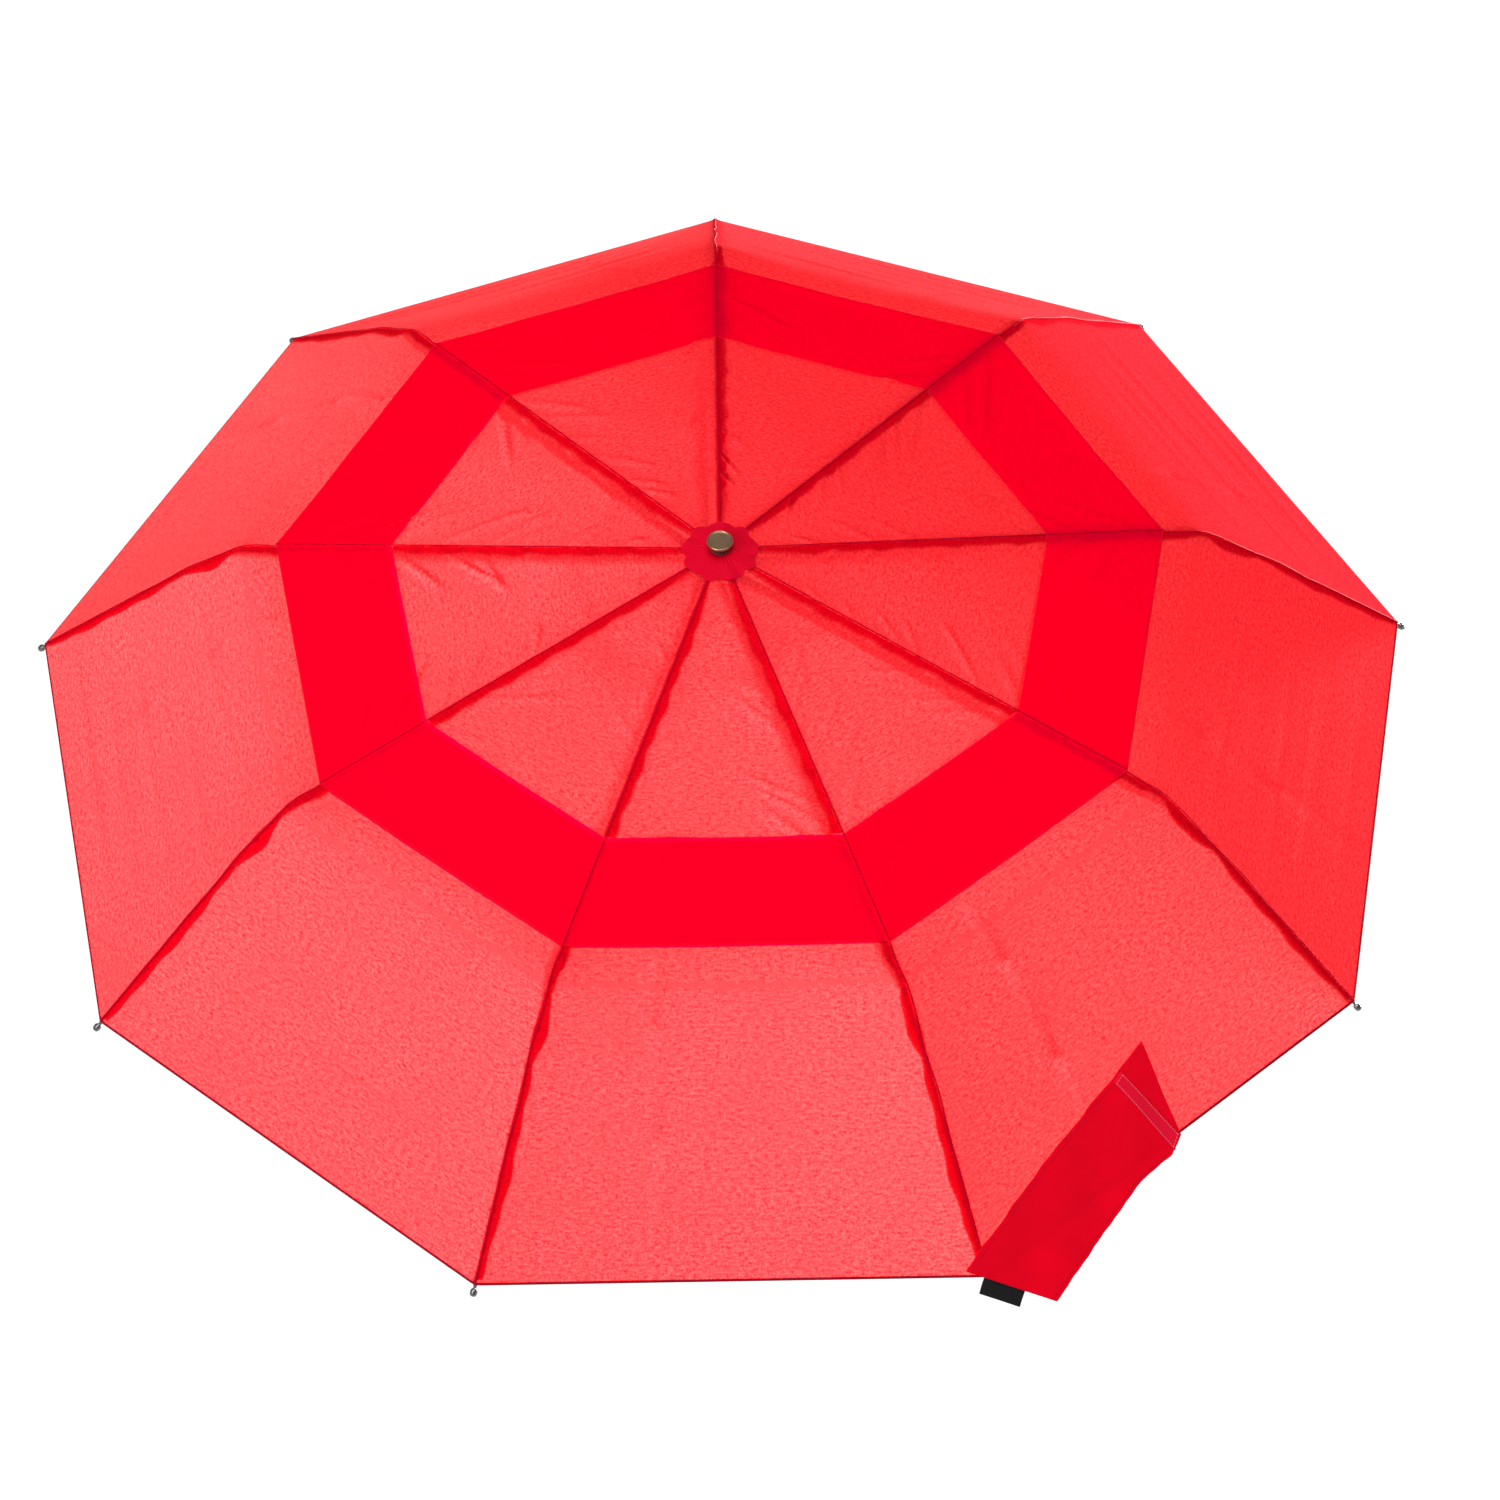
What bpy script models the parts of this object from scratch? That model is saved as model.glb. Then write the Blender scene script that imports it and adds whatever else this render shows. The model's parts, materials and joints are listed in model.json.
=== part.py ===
"""Folding golf umbrella with a vented double canopy, shown fully open.

Units are metres, with +Z up the shaft and the origin on the shaft's axis at the middle of the grip.
Rib 1 points along +Y and the others follow every 40 degrees, clockwise seen from above.
Each arm has four links: a top rib hinged to the crown, a stretcher hinged under the top rib,
a middle rib that folds up and back over the top rib, and a tail rib that folds down under the middle rib.
The arm links are drawn in the plane of their rib: x outward, y across the rib and z up.
"""
import math

import bmesh
import bpy
from mathutils import Matrix, Vector

# ---------------------------------------------------------------- ribs and canopy
RIB_COUNT = 9
FIRST_AZIMUTH = math.radians(90)
RIB_SPACING = 2 * math.pi / RIB_COUNT

HEM_Z = 0.3668  # height of the cloth corners at the rib tips
HEM_RADIUS = 0.615
BEND_RADIUS = 0.4736
BEND_RISE = 0.131  # cloth over the tail rib's bend, above the hem
KNEE_RADIUS = 0.4225
KNEE_RISE = 0.171  # cloth over the knee between middle and tail rib, above the hem
INNER_FALL = 0.1656  # fall of the inner canopy for each metre of radius
LOWER_EDGE_RADIUS = 0.2854  # inner edge of the lower canopy
VENT_HEM_RADIUS = 0.3893
VENT_LIFT = 0.003  # the vent layer lies this far above the lower layer
CLOTH_THICKNESS = 0.0006
ROSETTE_RADIUS = 0.034
ROSETTE_NOTCH = 0.0014
COLLAR_HOLE_RADIUS = 0.006

# ---------------------------------------------------------------- rib linkage
RING_RADIUS = 0.0105  # wires of the crown and the runner that the links hang on
RIB_DEPTH = 0.005  # from the cloth's outer face down to the top rib's hinge line
TOP_RIB_LENGTH = 0.2108
STRETCHER_POINT = (0.105, -0.0004)  # stretcher pin on the top rib: along it and above its line
STRETCHER_LENGTH = 0.120
STRETCHER_SHORTFALL = 0.0012  # the runner pivot is open: the link stops short of the wire
ELBOW_LIFT = 0.0025  # hinge between top and middle rib, above the top rib's line
KNEE_DROP = 0.0048  # hinge between middle and tail rib, below the elbow hinge's line
TAIL_LIFT = 0.0021  # tail rod's centre above its hinge
TAIL_DEPTH = 0.0021  # tail rod's centre below the cloth at the corner
BEND_DEPTH = 0.0023  # tail rod's centre below the cloth at the bend
TIP_REACH = 0.0095  # metal tip beyond the cloth corner

CHANNEL_HALF_WIDTH = 0.0018
CHANNEL_WALL = 0.00045
TOP_CHANNEL_Z = (-0.0016, 0.0016)
MIDDLE_CHANNEL_Z = (-0.0039, -0.0009)
EYE_HALF_WIDTH = 0.0010
EYE_RADIUS = 0.0018
TONGUE_HALF_WIDTH = 0.0008
LUG_RADIUS = 0.0013
EAR_Y = (0.00125, 0.0017)
PIN_RADIUS = 0.00055
PIN_HALF_LENGTH = 0.0015
HOLE_RADIUS = 0.0009
STRETCHER_HALF_WIDTH = 0.00095
STRETCHER_HALF_DEPTH = 0.0010
TAIL_ROD_RADIUS = 0.0012
TIP_BEAD_RADIUS = 0.0028
WIRE_RADIUS = 0.0005

# ---------------------------------------------------------------- shaft, crown and runner
TUBE_WALL = 0.0007
UPPER_TUBE_RADIUS = 0.0070
MIDDLE_TUBE_RADIUS = 0.0059
LOWER_TUBE_RADIUS = 0.0048
UPPER_TUBE_DROP = 0.262  # upper tube's lower end, below the crown hinges
SECTION_VISIBLE = 0.147  # length that each lower section shows when extended
SECTION_OVERLAP = 0.035
LOWER_TUBE_Z = -0.015
BORE_RADIUS = 0.0073
HUB_RADIUS = 0.0132
SLOT_HALF_WIDTH = 0.0014
GROOVE_RADII = (0.0097, 0.0113)
GROOVE_FLOOR = -0.0008
POST_RADIUS = 0.0045
POST_TOP = 0.017
CAP_RADIUS = 0.0113
CAP_Z = (0.013, 0.0215)
RUNNER_SLEEVE_RADIUS = 0.0092
RUNNER_FLANGE_RADIUS = 0.013
RUNNER_SLEEVE_DROP = 0.032

# ---------------------------------------------------------------- handle
BASE_Z = -0.050
HANDLE_TOP_Z = 0.045
GRIP_Z = (-0.040, 0.012)
CORE_RADIUS = 0.013
GRIP_RADIUS = 0.0165
HANDLE_COLLAR_RADIUS = 0.0175
END_CAP_RADIUS = 0.016
FIT_GAP = 0.0003
BUTTON_SIZE = (0.012, 0.018)
BUTTON_Z = 0.029
BUTTON_Y = (-0.0188, -0.0139)
BUTTON_POCKET_FLOOR = -0.0105
STRAP_PIN_Y = 0.013
STRAP_PIN_Z = -0.0455
STRAP_PIN_RADIUS = 0.001
STRAP_LENGTH = 0.130  # from the pin to the centre of the loop's round end
STRAP_LOOP_RADIUS = 0.022
STRAP_THICKNESS = 0.0015
STRAP_HALF_WIDTH = 0.004
SPRING_RADIUS = 0.0032
SPRING_WIRE_RADIUS = 0.0004
SPRING_Z = (-0.012, 0.214)
SPRING_TURNS = 18

# ---------------------------------------------------------------- tie strap on rib 5
# Outlines are drawn flat on the outer gore between ribs 5 and 4, from the cloth corner at rib 5:
# x runs along the hem towards rib 4, y up the slope.
TIE_RIB = 5
TIE_OUTLINE = (
    (-0.016, 0.016),
    (0.041, -0.051),
    (0.163, -0.012),
    (0.198, -0.010),
    (0.214, 0.000),
    (0.224, 0.086),
    (0.117, 0.058),
    (0.008, 0.026),
)
TIE_GAP = 0.0015
TIE_THICKNESS = 0.001
PATCH_OUTLINE = ((0.182, 0.072), (0.202, -0.008), (0.2125, 0.001), (0.193, 0.0755))
PATCH_THICKNESS = 0.0008
LABEL_START = (-0.005, 0.002)
LABEL_END = (0.021, -0.0285)
LABEL_DEPTH = 0.013

ROUND_SIDES = 36
TUBE_SIDES = 24
LUG_SIDES = 12
PIN_SIDES = 8


# ================================================================ small tools
def clear_scene():
    for old in list(bpy.data.objects):
        bpy.data.objects.remove(old)


def make_material(name, colour, roughness, metallic=0.0):
    material = bpy.data.materials.new(name)
    material.use_nodes = True
    shader = material.node_tree.nodes["Principled BSDF"]
    shader.inputs["Base Color"].default_value = (*colour, 1)
    shader.inputs["Roughness"].default_value = roughness
    shader.inputs["Metallic"].default_value = metallic
    return material


def mesh_from(bm, name):
    """Turns closed bmesh geometry into a mesh with its faces pointing out."""
    bmesh.ops.recalc_face_normals(bm, faces=bm.faces)
    mesh = bpy.data.meshes.new(name)
    bm.to_mesh(mesh)
    bm.free()
    return mesh


def add_piece(name, mesh, material, parent=None, location=(0, 0, 0), pitch=0.0, smooth=False):
    """Adds one named piece; pitch turns it nose down about the axis across the rib."""
    piece = bpy.data.objects.new(name, mesh)
    bpy.context.scene.collection.objects.link(piece)
    if not mesh.materials:
        mesh.materials.append(material)
    if smooth:
        mesh.shade_smooth()
        mesh.set_sharp_from_angle(angle=math.radians(35))
    piece.parent = parent
    piece.location = location
    piece.rotation_euler = (0, pitch, 0)
    return piece


def add_empty(name, matrix):
    empty = bpy.data.objects.new(name, None)
    empty.empty_display_size = 0.02
    bpy.context.scene.collection.objects.link(empty)
    empty.matrix_world = matrix
    return empty


def prism(outline, low, high, axis):
    """Closed prism: an outline in the plane across the axis, between two places on the axis.

    Axis "x" takes (y, z) outlines, "y" takes (x, z) outlines and "z" takes (x, y) outlines.
    """
    place = {
        "x": lambda u, v, w: (w, u, v),
        "y": lambda u, v, w: (u, w, v),
        "z": lambda u, v, w: (u, v, w),
    }[axis]
    bm = bmesh.new()
    near = [bm.verts.new(place(u, v, low)) for u, v in outline]
    far = [bm.verts.new(place(u, v, high)) for u, v in outline]
    bm.faces.new(near)
    bm.faces.new(far)
    for i in range(len(outline)):
        j = (i + 1) % len(outline)
        bm.faces.new((near[i], near[j], far[j], far[i]))
    return bm


def arc(centre, radius, start, end, steps):
    """Points on an arc between two angles in degrees, both ends included."""
    points = []
    for i in range(steps + 1):
        angle = math.radians(start + (end - start) * i / steps)
        points.append((centre[0] + radius * math.cos(angle), centre[1] + radius * math.sin(angle)))
    return points


def circle(centre, radius, sides):
    return arc(centre, radius, 0, 360 - 360 / sides, sides - 1)


def box(low, high):
    outline = ((low[0], low[1]), (high[0], low[1]), (high[0], high[1]), (low[0], high[1]))
    return prism(outline, low[2], high[2], "z")


def turned(profile, sides, closed=False):
    """Solid of revolution about Z from (radius, height) points.

    An open profile starts and ends on the axis. A closed one is the section of a ring.
    """
    bm = bmesh.new()
    rings = []
    for radius, height in profile:
        if radius == 0:
            rings.append([bm.verts.new((0, 0, height))] * sides)
            continue
        turns = [2 * math.pi * i / sides for i in range(sides)]
        rings.append([bm.verts.new((radius * math.cos(t), radius * math.sin(t), height)) for t in turns])
    pairs = list(zip(rings, rings[1:]))
    if closed:
        pairs.append((rings[-1], rings[0]))
    for lower, upper in pairs:
        for i in range(sides):
            j = (i + 1) % sides
            corners = list(dict.fromkeys((lower[i], lower[j], upper[j], upper[i])))
            if len(corners) > 2:
                bm.faces.new(corners)
    return bm


def tube_section(inner, outer, low, high):
    return [(inner, low), (outer, low), (outer, high), (inner, high)]


def swept(points, radii, sides, normal=Vector((0, 1, 0))):
    """Rod along a path, with its own radius at each point; a zero radius closes an end to a point."""
    bm = bmesh.new()
    rings = []
    for i, point in enumerate(points):
        ahead = points[min(i + 1, len(points) - 1)]
        behind = points[max(i - 1, 0)]
        forward = (ahead - behind).normalized()
        side = normal.cross(forward).normalized()
        up = forward.cross(side)
        if radii[i] == 0:
            rings.append([bm.verts.new(point)] * sides)
            continue
        ring = []
        for k in range(sides):
            turn = 2 * math.pi * k / sides
            ring.append(bm.verts.new(point + radii[i] * (math.cos(turn) * side + math.sin(turn) * up)))
        rings.append(ring)
    for first, second in zip(rings, rings[1:]):
        for i in range(sides):
            j = (i + 1) % sides
            corners = list(dict.fromkeys((first[i], first[j], second[j], second[i])))
            bm.faces.new(corners)
    for end, radius in ((rings[0], radii[0]), (rings[-1], radii[-1])):
        if radius > 0:
            bm.faces.new(end)
    return bm


def combined(name, base, additions=(), cuts=()):
    """Mesh of a base shape with others joined to it and cut from it."""
    target = bpy.data.objects.new(name, mesh_from(base, name))
    bpy.context.scene.collection.objects.link(target)
    helpers = []
    for operation, shapes in (("UNION", additions), ("DIFFERENCE", cuts)):
        for shape in shapes:
            helper = bpy.data.objects.new(name + "_helper", mesh_from(shape, name + "_helper"))
            bpy.context.scene.collection.objects.link(helper)
            helpers.append(helper)
            modifier = target.modifiers.new(operation, "BOOLEAN")
            modifier.operation = operation
            modifier.solver = "EXACT"
            modifier.object = helper
    bpy.context.view_layer.update()
    depsgraph = bpy.context.evaluated_depsgraph_get()
    mesh = bpy.data.meshes.new_from_object(target.evaluated_get(depsgraph))
    mesh.name = name
    for helper in helpers:
        bpy.data.objects.remove(helper)
    bpy.data.objects.remove(target)
    return mesh


# ================================================================ geometry of an arm
def along(pitch):
    """Direction of a link that points outward and down by an angle."""
    return Vector((math.cos(pitch), 0, -math.sin(pitch)))


def above(pitch):
    """Direction square to that link, on its upper side."""
    return Vector((math.sin(pitch), 0, math.cos(pitch)))


def cloth_point(radius):
    """Point of the cloth's outer face over a rib, on the inner canopy."""
    return Vector((radius, 0, HEM_Z + KNEE_RISE + INNER_FALL * (KNEE_RADIUS - radius)))


INNER_PITCH = math.atan(INNER_FALL)
CORNER = Vector((HEM_RADIUS, 0, HEM_Z))
BEND = Vector((BEND_RADIUS, 0, HEM_Z + BEND_RISE))
OUTER_PITCH = math.atan2(BEND_RISE, HEM_RADIUS - BEND_RADIUS)
KNEE_PITCH = math.atan2(KNEE_RISE - BEND_RISE, BEND_RADIUS - KNEE_RADIUS)

CROWN_Z = cloth_point(RING_RADIUS).z - RIB_DEPTH / math.cos(INNER_PITCH)
TOP_HINGE = Vector((RING_RADIUS, 0, CROWN_Z))
STRETCHER_HINGE = TOP_HINGE + STRETCHER_POINT[0] * along(INNER_PITCH)
STRETCHER_HINGE = STRETCHER_HINGE + STRETCHER_POINT[1] * above(INNER_PITCH)
ELBOW_HINGE = TOP_HINGE + TOP_RIB_LENGTH * along(INNER_PITCH) + ELBOW_LIFT * above(INNER_PITCH)
KNEE_HINGE = cloth_point(KNEE_RADIUS) - (RIB_DEPTH - ELBOW_LIFT + KNEE_DROP) * above(INNER_PITCH)
MIDDLE_RIB_LENGTH = (KNEE_HINGE - ELBOW_HINGE).dot(along(INNER_PITCH))
STRETCHER_REACH = STRETCHER_HINGE.x - RING_RADIUS
STRETCHER_PITCH = math.pi - math.acos(STRETCHER_REACH / STRETCHER_LENGTH)
RUNNER_Z = STRETCHER_HINGE.z - math.sqrt(STRETCHER_LENGTH**2 - STRETCHER_REACH**2)

TAIL_END = CORNER - TAIL_DEPTH * above(OUTER_PITCH)
TAIL_SPAN = TAIL_END - KNEE_HINGE
TAIL_PITCH = math.atan2(-TAIL_SPAN.z, TAIL_SPAN.x) + math.asin(TAIL_LIFT / TAIL_SPAN.length)


def tail_local(point):
    """Point of the rib's plane, seen from the tail rib's own frame."""
    offset = point - KNEE_HINGE
    return Vector((offset.dot(along(TAIL_PITCH)), 0, offset.dot(above(TAIL_PITCH))))


# ================================================================ arm links
def channel(low_x, high_x, low_z, high_z):
    """Bent-steel channel along x, open downward."""
    outer = CHANNEL_HALF_WIDTH
    inner = CHANNEL_HALF_WIDTH - CHANNEL_WALL
    ceiling = high_z - CHANNEL_WALL
    outline = [(-outer, low_z), (-inner, low_z), (-inner, ceiling), (inner, ceiling)]
    outline += [(inner, low_z), (outer, low_z), (outer, high_z), (-outer, high_z)]
    return prism(outline, low_x, high_x, "x")


def across(outline, half_width):
    return prism(outline, -half_width, half_width, "y")


def both_ears(outline):
    return [prism(outline, EAR_Y[0], EAR_Y[1], "y"), prism(outline, -EAR_Y[1], -EAR_Y[0], "y")]


def hinge_pin(centre, radius):
    return across(circle(centre, radius, PIN_SIDES), PIN_HALF_LENGTH)


def top_rib_mesh():
    low_z, high_z = TOP_CHANNEL_Z
    end = TOP_RIB_LENGTH
    eye = arc((0, 0), EYE_RADIUS, 50, 310, LUG_SIDES)
    eye += [(0.011, -0.0012), (0.011, 0.0013)]
    elbow = (end, ELBOW_LIFT)
    ear = arc(elbow, LUG_RADIUS, 150, -60, LUG_SIDES)
    ear += [(end - 0.0022, low_z + 0.0004), (end - 0.007, low_z + 0.0004), (end - 0.007, high_z - 0.0001)]
    additions = [across(eye, EYE_HALF_WIDTH)]
    additions += both_ears(ear)
    additions.append(hinge_pin(elbow, PIN_RADIUS))
    additions.append(hinge_pin(STRETCHER_POINT, PIN_RADIUS))
    cuts = [across(circle((0, 0), HOLE_RADIUS, PIN_SIDES), 2 * EYE_HALF_WIDTH)]
    return combined("top_rib", channel(0.0056, end - 0.0025, low_z, high_z), additions, cuts)


def stretcher_mesh():
    depth = STRETCHER_HALF_DEPTH
    end = STRETCHER_LENGTH - STRETCHER_SHORTFALL
    outline = arc((0, 0), depth * 1.15, 60, 300, LUG_SIDES)
    outline += [(0.003, -depth), (end - 0.0008, -depth), (end, -0.0004)]
    outline += [(end, 0.0004), (end - 0.0008, depth), (0.003, depth)]
    cuts = [across(circle((0, 0), HOLE_RADIUS, PIN_SIDES), 2 * STRETCHER_HALF_WIDTH)]
    return combined("stretcher", across(outline, STRETCHER_HALF_WIDTH), cuts=cuts)


def middle_rib_mesh():
    low_z, high_z = MIDDLE_CHANNEL_Z
    end = MIDDLE_RIB_LENGTH
    tongue = arc((0, 0), LUG_RADIUS, 60, 230, LUG_SIDES)
    tongue += [(0.0032, low_z + 0.0005), (0.009, low_z + 0.0005), (0.009, high_z - 0.0002)]
    tongue.append((0.0024, high_z - 0.0002))
    knee = (end, -KNEE_DROP)
    ear = arc(knee, LUG_RADIUS, 60, -150, LUG_SIDES)
    ear += [(end - 0.007, low_z + 0.0003), (end - 0.007, high_z - 0.0006), (end - 0.0022, high_z - 0.0006)]
    additions = [across(tongue, TONGUE_HALF_WIDTH)]
    additions += both_ears(ear)
    additions.append(hinge_pin(knee, PIN_RADIUS))
    cuts = [across(circle((0, 0), HOLE_RADIUS, PIN_SIDES), 2 * TONGUE_HALF_WIDTH)]
    return combined("middle_rib", channel(0.003, end - 0.0025, low_z, high_z), additions, cuts)


def tail_rib_mesh():
    """Round steel rod with a flattened hinge tongue and a metal tip."""
    start = Vector((0.004, 0, TAIL_LIFT))
    bend = tail_local(BEND - BEND_DEPTH * above((OUTER_PITCH + KNEE_PITCH) / 2))
    end = tail_local(TAIL_END)
    outward = (end - bend).normalized()
    bead = TIP_BEAD_RADIUS
    tip = end + (TIP_REACH - bead) * outward
    before = bend + 0.012 * (start - bend).normalized()
    after = bend + 0.012 * outward
    points = [start, before, after, end, tip - 0.8 * bead * outward]
    radii = [TAIL_ROD_RADIUS] * 4 + [0.9 * TAIL_ROD_RADIUS]
    for reach, width in ((-0.55, 0.8), (0, 1.0), (0.55, 0.8), (1, 0)):
        points.append(tip + reach * bead * outward)
        radii.append(width * bead)
    rod = swept(points, radii, 10)
    tongue = arc((0, 0), LUG_RADIUS, 130, 310, LUG_SIDES)
    tongue += [(0.0045, TAIL_LIFT - 0.0008), (0.008, TAIL_LIFT - 0.0006)]
    tongue += [(0.008, TAIL_LIFT + 0.0006), (0.0045, TAIL_LIFT + 0.0008)]
    cuts = [across(circle((0, 0), HOLE_RADIUS, PIN_SIDES), 2 * TONGUE_HALF_WIDTH)]
    return combined("tail_rib", rod, [across(tongue, TONGUE_HALF_WIDTH)], cuts)


def rib_azimuth(number):
    return FIRST_AZIMUTH - (number - 1) * RIB_SPACING


def add_arms(steel, black_steel):
    links = (
        ("top_rib", top_rib_mesh(), TOP_HINGE, INNER_PITCH, black_steel),
        ("stretcher", stretcher_mesh(), STRETCHER_HINGE, STRETCHER_PITCH, black_steel),
        ("middle_rib", middle_rib_mesh(), ELBOW_HINGE, INNER_PITCH, black_steel),
        ("tail_rib", tail_rib_mesh(), KNEE_HINGE, TAIL_PITCH, steel),
    )
    for number in range(1, RIB_COUNT + 1):
        arm = add_empty(f"arm_{number}", Matrix.Rotation(rib_azimuth(number), 4, "Z"))
        for name, mesh, hinge, pitch, material in links:
            add_piece(f"{name}_{number}", mesh, material, arm, hinge, pitch, smooth=name == "tail_rib")


# ================================================================ canopy
def gore_shell(rings):
    """Closed thin shell of flat gores: rings of corners on the ribs, from the inside out."""
    bm = bmesh.new()
    layers = []
    for drop in (0, CLOTH_THICKNESS):
        rows = []
        for ring in rings:
            corners = []
            for number in range(1, RIB_COUNT + 1):
                turn = Matrix.Rotation(rib_azimuth(number), 4, "Z")
                corners.append(bm.verts.new(turn @ (ring - Vector((0, 0, drop)))))
            rows.append(corners)
        layers.append(rows)
    outer, inner = layers
    bands = list(zip(outer, outer[1:])) + list(zip(inner, inner[1:]))
    bands += [(outer[0], inner[0]), (outer[-1], inner[-1])]
    for first, second in bands:
        for i in range(RIB_COUNT):
            j = (i + 1) % RIB_COUNT
            bm.faces.new((first[i], first[j], second[j], second[i]))
    return bm


def add_canopy(cloth, dark_cloth):
    lift = VENT_LIFT * above(INNER_PITCH)
    vent_rings = [cloth_point(COLLAR_HOLE_RADIUS) + lift, cloth_point(VENT_HEM_RADIUS) + lift]
    add_piece("vent_canopy", mesh_from(gore_shell(vent_rings), "vent_canopy"), cloth)
    main_rings = [cloth_point(LOWER_EDGE_RADIUS), cloth_point(KNEE_RADIUS), BEND, CORNER]
    add_piece("main_canopy", mesh_from(gore_shell(main_rings), "main_canopy"), cloth)

    height = cloth_point(0).z + (VENT_LIFT + 0.0005) / math.cos(INNER_PITCH)
    hole = COLLAR_HOLE_RADIUS
    section = [(hole, height - INNER_FALL * hole), (ROSETTE_RADIUS, height - INNER_FALL * ROSETTE_RADIUS)]
    section += [(radius, z + CLOTH_THICKNESS) for radius, z in reversed(section)]
    bm = turned(section, ROUND_SIDES, closed=True)
    for vert in bm.verts:
        step = round(ROUND_SIDES * math.atan2(vert.co.y, vert.co.x) / (2 * math.pi))
        if vert.co.xy.length > 2 * hole and step % 2:
            vert.co.xy *= 1 - ROSETTE_NOTCH / ROSETTE_RADIUS
    add_piece("rosette", mesh_from(bm, "rosette"), dark_cloth)


def tie_frame():
    """Frame on the outer gore beside the tie strap's rib, at the cloth corner on that rib."""
    here = Matrix.Rotation(rib_azimuth(TIE_RIB), 4, "Z")
    there = Matrix.Rotation(rib_azimuth(TIE_RIB - 1), 4, "Z")
    hem = (there @ CORNER - here @ CORNER).normalized()
    rib = here @ (BEND - CORNER)
    slope = (rib - rib.dot(hem) * hem).normalized()
    frame = Matrix((hem, slope, hem.cross(slope))).transposed().to_4x4()
    frame.translation = here @ CORNER
    return frame


def add_tie_strap(dark_cloth, patch_cloth, label_cloth):
    """Tie strap laid on the gore; its outline is drawn from its hinge line's lower end."""
    hinge = Vector((*TIE_OUTLINE[0], TIE_GAP))
    frame = add_empty("tie_frame", tie_frame() @ Matrix.Translation(hinge))

    def plate(outline, low, high):
        moved = [(x - hinge.x, y - hinge.y) for x, y in outline]
        return prism(moved, low, high, "z")

    top = TIE_THICKNESS
    add_piece("tie_strap", mesh_from(plate(TIE_OUTLINE, 0, top), "tie_strap"), dark_cloth, frame)
    patch = plate(PATCH_OUTLINE, top + FIT_GAP, top + FIT_GAP + PATCH_THICKNESS)
    add_piece("hook_patch", mesh_from(patch, "hook_patch"), patch_cloth, frame)

    start = Vector(LABEL_START)
    end = Vector(LABEL_END)
    edge = (end - start).normalized()
    outward = Vector((edge.y, -edge.x))
    near = FIT_GAP * outward
    far = LABEL_DEPTH * outward
    outline = [start + near, start + far, end + far, end + near]
    label = plate([tuple(point) for point in outline], 0, top)
    add_piece("label_tag", mesh_from(label, "label_tag"), label_cloth, frame)


# ================================================================ crown, cap, runner and shaft
def slot_cutter(inner_radius, low_z, high_z):
    """Nine radial slots, one in line with each rib."""
    bm = box((inner_radius, -SLOT_HALF_WIDTH, low_z), (0.016, SLOT_HALF_WIDTH, high_z))
    first = list(bm.verts) + list(bm.faces)
    bmesh.ops.rotate(bm, verts=bm.verts, matrix=Matrix.Rotation(FIRST_AZIMUTH, 3, "Z"))
    for number in range(1, RIB_COUNT):
        copy = bmesh.ops.duplicate(bm, geom=first)["geom"]
        verts = [item for item in copy if isinstance(item, bmesh.types.BMVert)]
        bmesh.ops.rotate(bm, verts=verts, matrix=Matrix.Rotation(-number * RIB_SPACING, 3, "Z"))
    return bm


def groove(top_z):
    """Profile points of the groove that the ring wire lies in, from the outside in."""
    inner, outer = GROOVE_RADII
    return [(outer, top_z), (outer, GROOVE_FLOOR), (inner, GROOVE_FLOOR), (inner, top_z)]


def ring_wire():
    return turned(circle((RING_RADIUS, 0), WIRE_RADIUS, 6), ROUND_SIDES, closed=True)


def add_crown(plastic, steel, cap_metal):
    profile = [(0, 0.0032), (BORE_RADIUS, 0.0032), (BORE_RADIUS, -0.004), (HUB_RADIUS, -0.004)]
    profile += [(HUB_RADIUS, 0.0034)] + groove(0.0034)
    profile += [(0.0086, 0.0050), (POST_RADIUS, 0.0060), (POST_RADIUS, POST_TOP), (0, POST_TOP)]
    cuts = [slot_cutter(0.0083, -0.005, 0.0023)]
    crown = combined("crown", turned(profile, ROUND_SIDES), cuts=cuts)
    add_piece("crown", crown, plastic, location=(0, 0, CROWN_Z), smooth=True)
    ring = mesh_from(ring_wire(), "crown_ring")
    add_piece("crown_ring", ring, steel, location=(0, 0, CROWN_Z), smooth=True)

    low, high = CAP_Z
    socket = POST_RADIUS + FIT_GAP
    ceiling = POST_TOP + FIT_GAP
    profile = [(0, ceiling), (socket, ceiling), (socket, low), (CAP_RADIUS - 0.0018, low)]
    profile += [(CAP_RADIUS, low + 0.0015), (CAP_RADIUS, high - 0.0010)]
    profile += [(CAP_RADIUS - 0.0010, high), (0, high)]
    cap = mesh_from(turned(profile, ROUND_SIDES), "crown_cap")
    add_piece("crown_cap", cap, cap_metal, location=(0, 0, CROWN_Z), smooth=True)


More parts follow.
